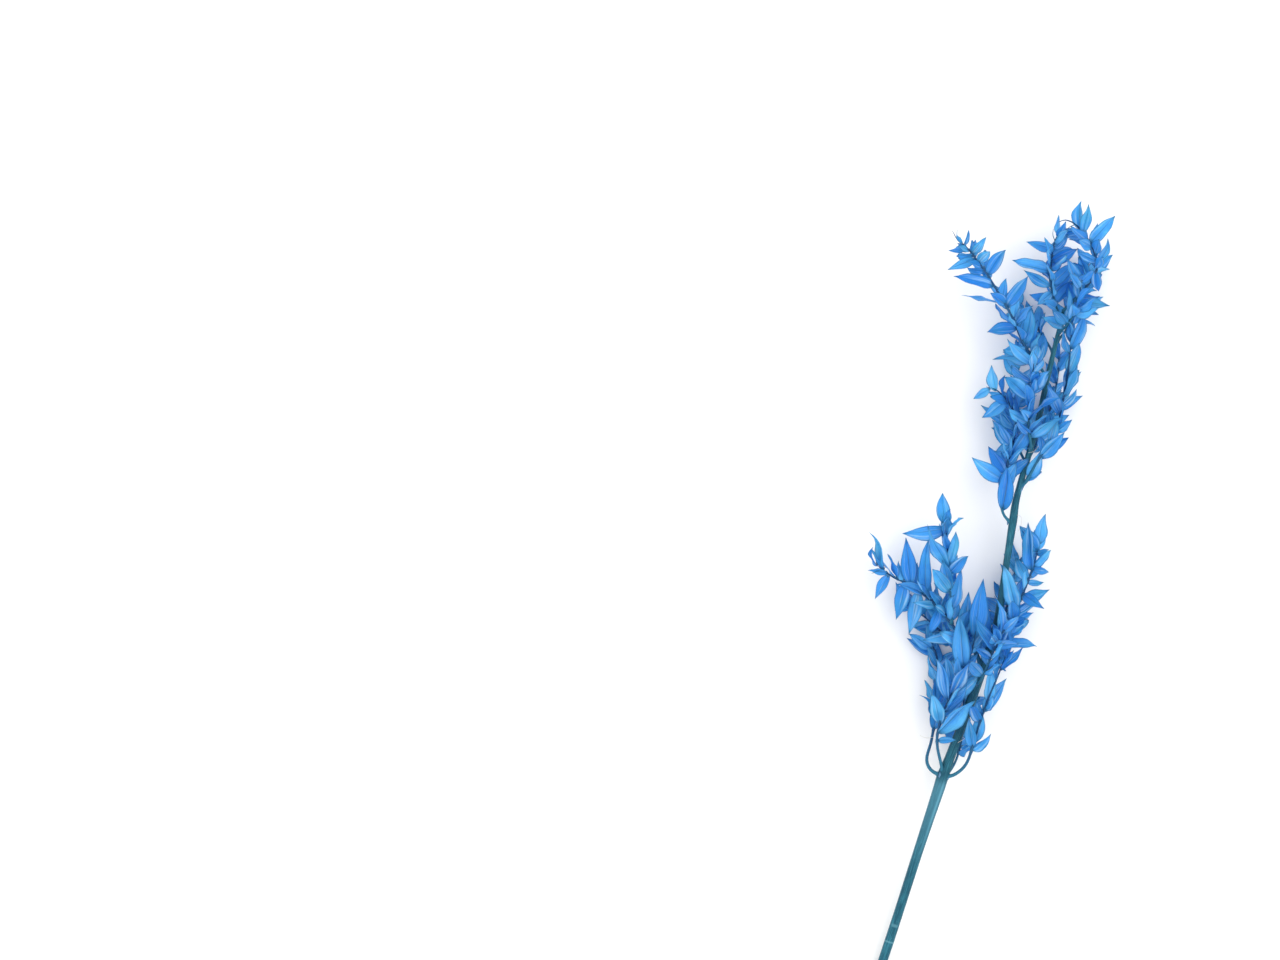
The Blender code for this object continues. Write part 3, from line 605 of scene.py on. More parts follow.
# Further leaves with a set place, by spray and number of the twig: (share along it, tip, roll in
# degrees), and how far each may move from there to find room
FURTHER_LEAVES = {
    ("low_inner_spray", 0): (
        (0.56, (24, 312, 36), -10), (0.28, (12, 296, 32), 25), (0.5, (-8, 316, 36), 15),
        (0.25, (10.5, 264, 25), -15), (0.75, (-10, 338, 38), -20), (0.85, (15, 345, 40), 15),
        (0.42, (6, 300, 34), 30),
    ),
    ("low_right_spray", 0): (
        (0.6, (10, 318, 38), 15), (0.5, (30, 308, 30), -25), (0.8, (38, 328, 30), 20),
        (0.9, (16, 340, 38), -20),
    ),
    ("low_left_spray", 0): (
        (0.36, (-4, 292, 18), -15), (0.6, (-2, 310, 17), 25), (0.85, (-33, 326, 14), -15),
    ),
    ("middle_left_spray", 0): (
        (0.42, (-22, 368, 32), 25), (0.5, (-24, 322, 33), -20), (0.66, (-36, 320, 22), 35),
        (0.86, (-70, 374, 24), -25), (0.9, (-62, 334, 26), 20), (0.35, (-14, 352, 34), -35),
        (0.1, (3, 352, 26), 30),
    ),
    ("middle_left_spray", 1): (
        (0.3, (-40, 362, 38), 30), (0.55, (-44, 386, 40), -20), (0.5, (-16, 378, 38), 20),
        (0.8, (-46, 400, 38), 20),
    ),
    ("middle_right_spray", 0): (
        (0.3, (8, 362, 32), 20), (0.5, (10, 378, 27), -30), (0.6, (14, 394, 26), 25),
        (0.5, (11, 398, 24), 10), (0.75, (18, 408, 24), -15), (0.2, (34, 318, 28), -30),
    ),
    ("middle_front_spray", 0): (
        (0.7, (0, 338, 44), 15), (0.6, (34, 336, 40), -25), (0.5, (6, 326, 42), -20),
        (0.9, (14, 360, 44), 30),
    ),
    ("upper_left_spray", 0): (
        (0.2, (-3, 448, 32), 20), (0.26, (-12, 452, 34), -30), (0.45, (3, 468, 36), 25),
        (0.55, (-20, 464, 36), -20), (0.18, (-3, 444, 31), 15),
    ),
    ("upper_front_spray", 0): (
        (0.2, (14, 478, 38), 20), (0.4, (12, 492, 44), -25), (0.7, (4, 510, 44), 30),
        (0.5, (-18, 504, 44), -35),
    ),
    ("upper_right_spray", 0): (
        (0.2, (20, 466, 34), 15), (0.45, (2, 492, 38), -20), (0.6, (18, 508, 36), 30),
        (0.75, (-2, 522, 40), 20), (0.07, (16, 438, 27), -15), (0.1, (15.7, 449, 28), 20),
    ),
    ("long_left_spray", 0): (
        (0.12, (-18, 538, 42), 25), (0.2, (-34, 536, 42), -20),
    ),
}

FURTHER_GUESSES = 160
FURTHER_REACH = (7, 7, 9)
FURTHER_LONGEST = 35
FURTHER_LEAST_SPREAD = math.radians(20)
FURTHER_LEAST_SHARE = 0.06
FURTHER_SLIDE = 0.12
FURTHER_ROLL = 110

# Filling leaves, which bring the twigs up to the number that the real ones carry
FILLING_SHARE = 1.4
FILLING_GUESSES = 110
FILLING_CLEARANCE = -0.18
FILLING_LEAST_SHARE = 0.02
FILLING_SPREADS = (-24, 22)
FILLING_SIZES = (0.85, 1.28)

# Circles in which no filling leaf may have its tip or its broad part: (x, y) and radius
KEPT_BARE = (
    ((-23, 309), 4), ((-20, 292), 6), ((-15, 278), 6), ((-8, 264), 5), ((-18, 441), 5),
    ((-42, 521), 5), ((-40, 507), 5), ((25, 564), 7), ((25, 543), 4), ((26, 458), 4),
    ((-21, 583), 4), ((-79, 352), 7), ((-62, 533), 6), ((3, 390), 5), ((19, 402), 4),
    ((25, 523), 5), ((28, 483), 6), ((-32, 582), 5), ((33, 298), 5), ((-21, 398), 6),
    ((27, 504), 4), ((28, 470), 4), ((40, 343), 6), ((38, 354), 5), ((-21, 451), 6),
    ((-31, 404), 3), ((-19, 299), 5), ((24, 516), 4), ((34, 404), 4), ((-26, 581), 4),
    ((24, 466), 3), ((26, 577), 4), ((26, 552), 4), ((25, 537), 3), ((-42, 553), 4),
    ((-18, 589), 3), ((-26, 446), 4), ((-43, 503), 4),
)

# Finished twigs and stem
FINE_TWIG_STEP = 2.2
TWIG_SIDES = 9
TWIG_END_RADIUS = 0.14
TWIG_END_SHARE = 0.12
TWIG_END_TAPER = 0.7
KNOT_REACH = 1.3
KNOT_SWELL = 0.32
FOOT_REACH = 3.0
FOOT_SWELL = 0.75
FINE_STEM_STEP = 3.5
STEM_SIDES = 36
STEM_WAVE = 0.012
STEM_WAVE_REACH = 9.0
PITH_INSET = 0.45
PITH_DEPTH = 0.25

# Tendrils that fork from a spray's twig near its tip
TENDRILS = {
    "upper_left_spray": [((-28, 479, 28.6), (-31, 481, 28.4), (-33.2, 483.6, 27.6))],
    "top_right_spray": [((-8, 589.8, 35.2), (-10.4, 587.6, 35), (-12.2, 584.8, 34))],
    "long_left_spray": [((-73, 560.5, 32.2), (-75.5, 563.8, 33), (-76.5, 567.4, 34.2))],
    "top_left_spray": [((-16, 577, 32), (-18.6, 580.4, 32.6), (-19.4, 584, 33.4))],
    "middle_left_spray": [((-60, 352, 22), (-64.5, 351, 22.4), (-68, 348.4, 23))],
}
TENDRIL_RADII = (0.34, 0.12)
TENDRIL_STEP = 1.2
TENDRIL_SIDES = 6

# Pale loose fibres caught on the stem and on the lowest twig
FIBRES = (
    ((8.4, 408, 24.8), (11.2, 407.6, 26.4), (12.4, 403, 26.8), (12.0, 398.6, 25.4)),
    ((-2.4, 261, 14.6), (-5.4, 259.6, 15.2), (-8.4, 259.2, 14.6), (-10.6, 259.8, 12.8)),
    ((12.6, 262, 19.6), (15.8, 266, 21.2), (17.4, 271.6, 21.6)),
    ((4.4, 447, 26.4), (7.6, 449, 27.8), (9.2, 453, 28)),
)
FIBRE_RADIUS = 0.11
FIBRE_STEP = 0.8
FIBRE_SIDES = 5

# Marks on the stem: how far up they are, and where the painted highlight lies on the stretch under the
# lowest fork, strongest on the stem's lit side
SCAR_AT = 130.7
SCAR_REACH = 1.6
SCAR_SWELL = 0.03
SCRATCH_AT = 141.5
PAINTED_HIGHLIGHT_FROM = (172, 222)
PAINTED_HIGHLIGHT_TO = (240, 233)
PAINTED_HIGHLIGHT_SIDE = -0.42

# The attribute that places the materials: (across, along, tone) on a blade, and (cosine and sine
# of the angle round it, distance along it in mm) on a tube
LAYER = "blade"

# Veins and streaks in the dye, as factors of the attribute; the leaf's pale streaks are partly washed
# dye and partly painted sheen
VEINS_ACROSS = 30.0
VEIN_WANDER = 12.0
LEAF_WASH_AND_SHEEN_STREAKS = (3.4, 0.8, 60)
TWIG_STREAKS = (2.2, 2.2, 0.12)
STEM_STREAKS = (5, 5, 0.09)

# How much of a leaf's colour gives way to the glow where light shines through it
GLOW_SHARE = 0.35

# Places of the materials in a spray's list, and in that of the main stem, which has SCALE too
LEAF, TWIG, SCALE = range(3)
WOOD, PITH = range(2)

# Stage: what the camera looks straight down on, in mm, and the rest in m
CAMERA_OVER = Vector((-222.2, 364.5, 0))
CAMERA_LENS = 113.4
FLOOR_HALF_WIDTH = 6
LIGHT_AIM = Vector((0, 0.1, 0))
KEY_SIZE = 2.4
KEY_PLACE = Vector((1.1, 0.9, 1.9))
FILL_SIZE = 1.8
FILL_PLACE = Vector((-1.6, -0.9, 1.6))
FILL_SHARE = 0.4


@dataclass
class Quirk:
    """What sets one finished leaf off from the next, beside its size and its turns."""

    tone: float
    fold: float
    torn: float
    cup: float
    wave: float
    phase: float
    curl: float
    lean: float
    taper: float


def quirks(dice, calm):
    """The quirks of one leaf. A calm one is whole, and keeps its width."""
    return Quirk(
        tone=dice.random(),
        fold=dice.triangular(-0.3, 0.6, 0.05) * (0.5 if calm else 1),
        torn=0 if calm else dice.choice(TORN_SHARES),
        cup=dice.uniform(-0.8, 1.1),
        wave=dice.uniform(0.01, 0.06),
        phase=dice.random(),
        curl=dice.uniform(-0.8, 1.3),
        lean=dice.uniform(-0.24, 0.24),
        taper=dice.uniform(-0.3, 0.3),
    )


def further_leaves(line, share, tip, roll, dice):
    """A leaf with its tip given, then the same leaf moved and turned more and more to find room."""
    chance = chances(dice)
    for guess in range(FURTHER_GUESSES):
        loose = guess / FURTHER_GUESSES
        moved = Vector([dice.uniform(-1, 1) * reach * loose for reach in FURTHER_REACH])
        place = share + FURTHER_SLIDE * loose * dice.uniform(-1, 1)
        place = min(1, max(FURTHER_LEAST_SHARE, place))
        turn = FURTHER_ROLL * loose * dice.uniform(-1, 1)
        leaf = leaf_to(line, place, Vector(tip) + moved, roll + turn, chance)
        _, axis = place_on(line, place)
        if leaf.length < FURTHER_LONGEST and leaf.direction.angle(axis) > FURTHER_LEAST_SPREAD:
            yield leaf


def filling_leaves(twig, line, dice):
    """Guesses at one more leaf anywhere along the leafy stretch of a twig."""
    for _ in range(FILLING_GUESSES):
        chance = chances(dice)
        chance["spread"] = dice.uniform(*FILLING_SPREADS)
        share = dice.uniform(twig.bare + FILLING_LEAST_SHARE, 1 - twig.tendril)
        swing = dice.uniform(0, 360)
        leaf = leaf_from(twig, line, share, swing, dice.uniform(*FILLING_SIZES), chance)
        reached = [(leaf.root + part * leaf.length * leaf.direction).xy for part in (0.6, 1)]
        away = (
            (at - Vector(centre)).length > radius for centre, radius in KEPT_BARE for at in reached
        )
        if all(away):
            yield leaf


def fill(grown, crowd):
    """Adds the leaves that the plain sprays leave out, clear of every leaf that they have."""
    dice = random.Random(SEED + 2)
    for owner, further in FURTHER_LEAVES.items():
        _, line, leaves = grown[owner]
        for share, tip, roll in further:
            guesses = further_leaves(line, share, tip, roll, dice)
            leaves += clear_leaf(crowd, owner, guesses, FILLING_CLEARANCE)
    for owner, (twig, line, leaves) in grown.items():
        for _ in range(round(FILLING_SHARE * len(leaves))):
            guesses = filling_leaves(twig, line, dice)
            leaves += clear_leaf(crowd, owner, guesses, FILLING_CLEARANCE)


def fine_point(leaf, along, across, quirk, thickness, drop):
    """A point of a finished leaf, on its upper face or a thickness below it.

    It keeps to the plain blade, but has a narrow stalk, cupped halves, a sunken midrib, a wavy
    margin and a tip that curls."""
    along *= 1 - quirk.torn * (1 + TORN_UNEVENNESS * math.sin(4 * across + 6 * quirk.phase))
    half = leaf.width / 2 * outline(along)
    stalk = STALK_HALF_WIDTH * max(0, 1 - along / STALK_SHARE)
    reach = abs(across)
    slim = quirk.taper * max(0, along - TAPERED_FROM) - quirk.lean * math.copysign(1, across)
    slim += 1 - math.cos(quirk.fold)
    lift = quirk.cup * half * (reach - reach**2) + math.sin(quirk.fold) * half * reach
    waved = math.tau * (MARGIN_WAVES * along + quirk.phase) + (math.pi if across < 0 else 0)
    lift += quirk.wave * leaf.length * reach**2 * 4 * along * (1 - along) * math.sin(waved)
    lift += quirk.curl * leaf.length * max(0, along - CURLED_FROM) ** 2
    sunk = max(0, 1 - reach / MIDRIB_REACH) * min(1, 6 * along, 8 * (1 - along))
    lift -= MIDRIB_DEPTH * sunk
    point = blade_point(leaf, along, across, lift - drop, max(0, stalk - half) - slim * half)
    point.z = max(point.z, FLOOR_GAP + thickness - drop)
    return point


def finish_faces(form, faces, slot):
    bmesh.ops.recalc_face_normals(form, faces=list(faces))
    for face in faces:
        face.smooth = True
        face.material_index = slot


def add_blade(form, leaf, quirk, thickness, rows, columns, slot):
    """A leaf in a bmesh: a grid moved to the leaf's form, and extruded to its thickness."""
    layer = form.verts.layers.float_vector[LAYER]
    wide, high = len(columns) - 1, len(rows) - 1
    grid = bmesh.ops.create_grid(form, x_segments=wide, y_segments=high, size=1)
    for vert in grid["verts"]:
        across = columns[round((vert.co.x + 1) / 2 * wide)]
        along = rows[round((vert.co.y + 1) / 2 * high)]
        vert.co = (fine_point(leaf, along, across, quirk, thickness, 0) + SHIFT) * MM
        vert[layer] = (across, along, quirk.tone)
    bmesh.ops.remove_doubles(form, verts=grid["verts"], dist=WELD * MM)
    top = {face for vert in grid["verts"] if vert.is_valid for face in vert.link_faces}
    shell = bmesh.ops.extrude_face_region(form, geom=list(top), use_keep_orig=True)["geom"]
    for vert in shell:
        if isinstance(vert, bmesh.types.BMVert):
            across, along, _ = vert[layer]
            drop = thickness * (1 - EDGE_THINNING * across**2) * (1 - EDGE_THINNING * along**4)
            vert.co = (fine_point(leaf, along, across, quirk, thickness, drop) + SHIFT) * MM
    under = {face for face in shell if isinstance(face, bmesh.types.BMFace)}
    every = set(top)
    for face in list(top) + list(under):
        for vert in face.verts:
            every.update(vert.link_faces)
    finish_faces(form, every, slot)
    for face in every - top - under:
        for edge in face.edges:
            edge.smooth = False


def frames_along(line):
    """A turn for each point of a line that carries +Z along it, without twist from one to the next."""
    turns = []
    turn = (line[1] - line[0]).to_track_quat("Z", "Y")
    for k in range(len(line)):
        ahead = (line[min(k + 1, len(line) - 1)] - line[max(k - 1, 0)]).normalized()
        turn = (turn @ UP).rotation_difference(ahead) @ turn
        turns.append(turn)
    return turns


def add_tube(form, line, radii, sides, slot, profile=None):
    """A closed tube in a bmesh: a ring at the start of a line, extruded from point to point."""
    layer = form.verts.layers.float_vector[LAYER]
    turns = frames_along(line)
    places = [
        Matrix.LocRotScale((at + SHIFT) * MM, turn, Vector((radius * MM,) * 3))
        for at, turn, radius in zip(line, turns, radii)
    ]
    ring = bmesh.ops.create_circle(form, cap_ends=False, radius=1, segments=sides)["verts"]
    for vert in ring:
        angle = math.atan2(vert.co.y, vert.co.x)
        vert[layer] = (math.cos(angle), math.sin(angle), 0)
        if profile:
            vert.co *= profile(angle)
        vert.co = places[0] @ vert.co
    edges = list({edge for vert in ring for edge in vert.link_edges})
    start = edges
    faces = set()
    travelled = 0
    for k in range(1, len(line)):
        travelled += (line[k] - line[k - 1]).length
        grown = bmesh.ops.extrude_edge_only(form, edges=edges)["geom"]
        verts = [item for item in grown if isinstance(item, bmesh.types.BMVert)]
        edges = [item for item in grown if isinstance(item, bmesh.types.BMEdge)]
        faces.update(item for item in grown if isinstance(item, bmesh.types.BMFace))
        bmesh.ops.transform(form, matrix=places[k] @ places[k - 1].inverted(), verts=verts)
        for vert in verts:
            vert[layer].z = travelled
    for end in (start, edges):
        faces.update(bmesh.ops.edgeloop_fill(form, edges=end)["faces"])
    finish_faces(form, faces, slot)


def add_twig(form, twig, leaves):
    """A twig in a bmesh, with a swelling at its foot and one where each leaf grows."""
    line = smooth_route(twig.route, FINE_TWIG_STEP)
    radii = twig_radii(twig, line)
    ending = max(2, round(TWIG_END_SHARE * len(line)))
    for k, at in enumerate(line):
        near = min([(leaf.root - at).length for leaf in leaves], default=KNOT_REACH)
        radii[k] *= 1 + KNOT_SWELL * max(0, 1 - (near / KNOT_REACH) ** 2)
        radii[k] *= 1 + FOOT_SWELL * math.exp(-((at - line[0]).length / FOOT_REACH) ** 2)
        left = min(1, (len(line) - 1 - k) / ending)
        radii[k] = TWIG_END_RADIUS + (radii[k] - TWIG_END_RADIUS) * left**TWIG_END_TAPER
    add_tube(form, line, radii, TWIG_SIDES, TWIG)


def scale_leaf(root, direction, facing, length):
    """The small papery scale that stands under a leaf or a twig where it grows."""
    direction = direction.normalized()
    normal = (facing - facing.dot(direction) * direction).normalized()
    width = SCALE_WIDTH_SHARE * length
    return Leaf(root, direction, normal, length, width, bend=SCALE_BEND, fold=SCALE_FOLD, twist=0.0)


def new_form():
    """An empty bmesh with the attribute that places the materials."""
    form = bmesh.new()
    form.verts.layers.float_vector.new(LAYER)
    return form


def add_object(name, data):
    made = bpy.data.objects.new(name, data)
    bpy.context.scene.collection.objects.link(made)
    return made


def new_piece(name, form, materials):
    """Makes a bmesh a finished piece that rides on the frame's one body."""
    mesh = bpy.data.meshes.new(name)
    form.to_mesh(mesh)
    form.free()
    for material in materials:
        mesh.materials.append(material)
    piece = add_object(name, mesh)
    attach(piece, "root")
    return piece


class Finish:
    """A material in the making, with a short call for each kind of node that it is made of."""

    def __init__(self, name):
        self.material = bpy.data.materials.new(name)
        self.material.use_nodes = True
        self.tree = self.material.node_tree
        for node in list(self.tree.nodes):
            if node.type != "OUTPUT_MATERIAL":
                self.tree.nodes.remove(node)

    def node(self, kind, inputs, **settings):
        """A node with its settings, and with each input set to a value or linked to a socket."""
        node = self.tree.nodes.new("ShaderNode" + kind)
        for key, value in settings.items():
            setattr(node, key, value)
        for key, value in inputs.items():
            if isinstance(value, bpy.types.NodeSocket):
                self.tree.links.new(value, node.inputs[key])
            else:
                node.inputs[key].default_value = value
        return node

    def reckoned(self, operation, first, second=0.0):
        return self.node("Math", {0: first, 1: second}, operation=operation).outputs[0]

    def distance(self, value, place):
        """How far a value is from a set one."""
        return self.reckoned("ABSOLUTE", self.reckoned("SUBTRACT", value, place))

    def ramped(self, value, low, high, to_low=0.0, to_high=1.0):
        """A value carried smoothly from one range to another."""
        inputs = {"Value": value, 1: low, 2: high, 3: to_low, 4: to_high}
        return self.node("MapRange", inputs, interpolation_type="SMOOTHSTEP").outputs["Result"]

    def noise(self, scale, detail, roughness=0.5, vector=None):
        """Noise on Object coordinates, with scale in cells to a metre, or on a vector."""
        if vector is None:
            vector = self.node("TexCoord", {}).outputs["Object"]
        inputs = {"Vector": vector, "Scale": scale, "Detail": detail, "Roughness": roughness}
        return self.node("TexNoise", inputs).outputs["Fac"]

    def scaled(self, vector, factors):
        inputs = {0: vector, 1: factors}
        return self.node("VectorMath", inputs, operation="MULTIPLY").outputs[0]

    def layer(self):
        """(the whole vector, and its three parts) of a piece's own attribute."""
        vector = self.node("Attribute", {}, attribute_name=LAYER).outputs["Vector"]
        return vector, *self.node("SeparateXYZ", {0: vector}).outputs

    def mixed(self, share, first, second):
        """The colour that is a mix of two, each a colour or a socket."""
        inputs = {0: share}
        for key, colour in ((6, first), (7, second)):
            inputs[key] = colour if isinstance(colour, bpy.types.NodeSocket) else (*colour, 1)
        return self.node("Mix", inputs, data_type="RGBA").outputs[2]

    def dyed(self, colour, layers):
        """A colour under layers of dye: (the layer's colour, where it lies, how strong it is)."""
        for dye, share, strength in layers:
            if strength != 1:
                share = self.reckoned("MULTIPLY", share, strength)
            colour = self.mixed(share, colour, dye)
        return colour

    def bump(self, height, strength, distance):
        inputs = {"Height": height, "Strength": strength, "Distance": distance}
        return self.node("Bump", inputs).outputs[0]

    def skin(self, colour, roughness, specular=0.5, normal=None):
        """The main shader."""
        if not isinstance(colour, bpy.types.NodeSocket):
            colour = (*colour, 1)
        inputs = {"Base Color": colour, "Roughness": roughness, "Specular IOR Level": specular}
        if normal is not None:
            inputs["Normal"] = normal
        return self.node("BsdfPrincipled", inputs)

    def done(self, shader):
        """The material, with a shader on its surface."""
        surface = self.tree.nodes["Material Output"].inputs["Surface"]
        self.tree.links.new(shader.outputs[0], surface)
        return self.material


def leaf_material(look):
    """Dyed leaf: fine lengthwise veins, uneven dye, pale streaks of washed dye and painted sheen, a dark
    margin, and light that shines through.
    """
    finish = Finish("dyed_leaf")
    ramped, reckoned, noise = finish.ramped, finish.reckoned, finish.noise
    vector, across, along, tone = finish.layer()
    reach = reckoned("ABSOLUTE", across)
    wander = reckoned("MULTIPLY", noise(90, 3), VEIN_WANDER)
    swung = reckoned("ADD", reckoned("MULTIPLY", across, VEINS_ACROSS), wander)
    veins = ramped(reckoned("SINE", swung), -0.2, 1)
    # Pale lengthwise streaks: partly washed dye, partly painted sheen on the leaf
    streaks = noise(1, 3, 0.6, finish.scaled(vector, LEAF_WASH_AND_SHEEN_STREAKS))
    midrib = reckoned("MULTIPLY", ramped(reach, 0.09, 0.02, 0, 0.45), ramped(along, 1, 0.45))
    margin = ramped(reach, 0.8, 1, 0, 0.72)
    tip = ramped(along, 0.84, 1, 0, 0.8)
    foot = ramped(along, 0.16, 0.02, 0, 0.8)
    rim = reckoned("MAXIMUM", margin, reckoned("MAXIMUM", tip, foot))
    colour = finish.dyed(
        finish.mixed(tone, look.deep_colour, look.pale_colour),
        (
            (look.deep_colour, ramped(noise(75, 3, 0.6), 0.38, 0.66), 0.55),
            (look.faded_colour, ramped(noise(42, 2), 0.5, 0.66), 0.4),
            # painted sheen and washed dye, laid in pale streaks
            (look.washed_and_sheen_colour, ramped(streaks, 0.48, 0.74), 0.75),
            (look.vein_colour, veins, 0.16),
            (look.edge_colour, midrib, 1),
            (look.edge_colour, rim, 1),
        ),
    )
    wrinkles = reckoned("MULTIPLY", noise(420, 3, 0.6), 2.5)
    normal = finish.bump(reckoned("ADD", veins, wrinkles), strength=0.6, distance=0.00016)
    front = finish.skin(colour, roughness=0.42, specular=0.28, normal=normal)
    shone = finish.mixed(GLOW_SHARE, colour, look.glow_colour)
    through = finish.node("BsdfTranslucent", {"Color": shone, "Normal": normal})
    inputs = {0: look.translucency, 1: front.outputs[0], 2: through.outputs[0]}
    return finish.done(finish.node("MixShader", inputs))


def twig_material(look):
    """Twigs: teal at the foot, dark blue towards the tip, with lengthwise streaks."""
    finish = Finish("dyed_twig")
    vector, _, _, along = finish.layer()
    streaks = finish.noise(1.6, 3, vector=finish.scaled(vector, TWIG_STREAKS))
    streaks = finish.ramped(streaks, 0.35, 0.68)
    colour = finish.mixed(finish.ramped(along, 2, 34), look.foot_colour, look.tip_colour)
    colour = finish.dyed(colour, ((look.streak_colour, streaks, 0.4),))
    height = finish.reckoned("ADD", streaks, finish.noise(900, 2))
    normal = finish.bump(height, strength=0.5, distance=0.00015)
    return finish.done(finish.skin(colour, roughness=0.5, specular=0.2, normal=normal))


def scale_material(look):
    """Papery scales under the leaves and twigs: dull, faded, with fine fibres."""
    finish = Finish("papery_scale")
    fleck = finish.ramped(finish.noise(800, 3), 0.4, 0.65)
    colour = finish.mixed(fleck, look.scale_colour, look.tip_colour)
    return finish.done(finish.skin(colour, roughness=0.75))


def stem_material(look):
    """The main stem: teal, streaked, with a painted highlight under the lowest fork, a scar and a
    scratch.
    """
    finish = Finish("dyed_stem")
    ramped, reckoned, noise = finish.ramped, finish.reckoned, finish.noise
    vector, across, side, along = finish.layer()
    streaks = ramped(noise(1.5, 3, 0.6, finish.scaled(vector, STEM_STREAKS)), 0.38, 0.64)
    # Painted highlight: a paler stretch just under the lowest fork, fading out below it and strongest on
    # the stem's lit side
    highlit = reckoned("MULTIPLY", ramped(along, *PAINTED_HIGHLIGHT_FROM), ramped(along, *PAINTED_HIGHLIGHT_TO))
    highlit_side = ramped(finish.distance(across, PAINTED_HIGHLIGHT_SIDE), 0.3, 0.05, 0.4, 1)
    ring = ramped(finish.distance(along, SCAR_AT), 0.8, 0.2, 0, 0.6)
    scratch = ramped(finish.distance(along, SCRATCH_AT), 1.5, 0.3)
    scratch = reckoned("MULTIPLY", scratch, ramped(side, 0.5, 0.9, 0, 0.5))
    specks = ramped(noise(1300, 1), 0.7, 0.78, 0, 0.5)
    marks = reckoned("MAXIMUM", reckoned("MAXIMUM", ring, scratch), specks)
    colour = finish.dyed(
        finish.mixed(streaks, look.colour, look.streak_colour),
        (
            (look.deep_colour, ramped(noise(30, 3), 0.4, 0.66), 0.45),
            # the painted highlight laid over the stem's dye
            (look.painted_highlight_colour, reckoned("MULTIPLY", highlit_side, highlit), 1),
            (look.scar_colour, marks, 1),
        ),
    )
    height = reckoned("ADD", streaks, reckoned("MULTIPLY", noise(700, 3), 0.8))
    normal = finish.bump(height, strength=0.5, distance=0.0002)
    return finish.done(finish.skin(colour, roughness=0.5, specular=0.2, normal=normal))


def cut_material(look):
    """The cut end: pale dry pith that took less dye."""
    finish = Finish("cut_pith")
    pores = finish.ramped(finish.noise(2600, 2), 0.42, 0.62)
    colour = finish.mixed(pores, look.pith_colour, look.colour)
    normal = finish.bump(pores, strength=0.6, distance=0.0002)
    return finish.done(finish.skin(colour, roughness=0.8, normal=normal))


def fibre_material(look):
    """Loose dry fibres that took no dye."""
    finish = Finish("loose_fibre")
    return finish.done(finish.skin(look.fibre_colour, roughness=0.7))


def floor_material(look):
    finish = Finish("pale_floor")
    return finish.done(finish.skin(look.floor_colour, roughness=0.9, specular=0.1))


def colour_prop(name, description, default):
    return FloatVectorProperty(
        name=name, description=description, default=default, subtype="COLOR", min=0, max=1
    )


class LeafLook(bpy.types.PropertyGroup):
    thickness: FloatProperty(
        name="Thickness", description="How thick a leaf is at its midrib",
        default=0.00026, min=0.0001, max=0.001, unit="LENGTH",
    )
    translucency: FloatProperty(
        name="Translucency", description="Share of the light that shines through a leaf",
        default=0.48, min=0, max=1, subtype="FACTOR",
    )
    pale_colour: colour_prop("Pale dye", "Colour of a leaf that took less dye", (0.17, 0.66, 0.98))
    deep_colour: colour_prop("Deep dye", "Colour of a leaf that took more dye", (0.027, 0.29, 0.80))
    vein_colour: colour_prop("Veins", "Colour between a leaf's fine veins", (0.25, 0.68, 1.0))
    edge_colour: colour_prop("Edges", "Colour of margin, midrib, tip and stalk", (0.014, 0.14, 0.33))
    glow_colour: colour_prop("Glow", "Colour that light takes in a leaf", (0.28, 0.82, 1.0))
    faded_colour: colour_prop("Faded", "Colour of leaves that faded towards teal", (0.04, 0.36, 0.56))
    # Colour of the pale streaks, which are partly washed dye and partly painted sheen
    washed_and_sheen_colour: colour_prop("Washed and painted sheen", "Colour where dye has worn away", (0.56, 0.80, 0.95))


class TwigLook(bpy.types.PropertyGroup):
    scale_length: FloatProperty(
        name="Scale length", description="Length of the papery scale under each leaf",
        default=0.0026, min=0.001, max=0.006, unit="LENGTH",
    )
    foot_colour: colour_prop("Foot", "Colour of a twig near the stem", (0.02, 0.13, 0.20))
    tip_colour: colour_prop("Tip", "Colour of a twig near its tip", (0.010, 0.05, 0.15))
    streak_colour: colour_prop("Streaks", "Lighter streaks along a twig", (0.03, 0.20, 0.34))
    scale_colour: colour_prop("Scales", "Colour of the papery scales", (0.10, 0.24, 0.38))
    fibre_colour: colour_prop("Fibres", "Colour of the loose fibres", (0.62, 0.58, 0.50))


class StemLook(bpy.types.PropertyGroup):
    ridges: IntProperty(
        name="Ridges", description="Ridges round the main stem", default=11, min=0, max=18
    )
    ridge_height: FloatProperty(
        name="Ridge height", description="Height of a ridge, as a share of the stem's radius",
        default=0.028, min=0, max=0.1, subtype="FACTOR",
    )
    colour: colour_prop("Dye", "Colour of the main stem", (0.004, 0.070, 0.112))
    deep_colour: colour_prop("Deep dye", "Colour of its darker stretches", (0.002, 0.038, 0.070))
    streak_colour: colour_prop("Streaks", "Colour of its lighter streaks", (0.026, 0.175, 0.24))
    # Colour of the painted highlight on the lit side of the stem under the lowest fork
    painted_highlight_colour: colour_prop("Painted highlight", "Colour of the worn stretch under a fork", (0.085, 0.27, 0.37))
    scar_colour: colour_prop("Scars", "Colour of the ring scar and scratches", (0.12, 0.31, 0.38))
    pith_colour: colour_prop("Pith", "Colour of the cut end", (0.30, 0.48, 0.48))


class StageLook(bpy.types.PropertyGroup):
    camera_height: FloatProperty(
        name="Camera height", description="Height of the camera over the floor",
        default=2.525, min=0.5, max=6, unit="LENGTH",
    )
    camera_turn: FloatProperty(
        name="Camera turn", description="How far the picture is turned from the stem",
        default=math.radians(16), subtype="ANGLE",
    )
    light_power: FloatProperty(
        name="Light power", description="Power of the large soft light, in watts",
        default=20, min=0, max=200, unit="POWER",
    )
    sky: FloatProperty(
        name="Sky", description="Brightness of the even light from all round",
        default=1.22, min=0, max=3, subtype="FACTOR",
    )
    floor_colour: colour_prop("Floor", "Colour of the floor", (0.90, 0.90, 0.90))


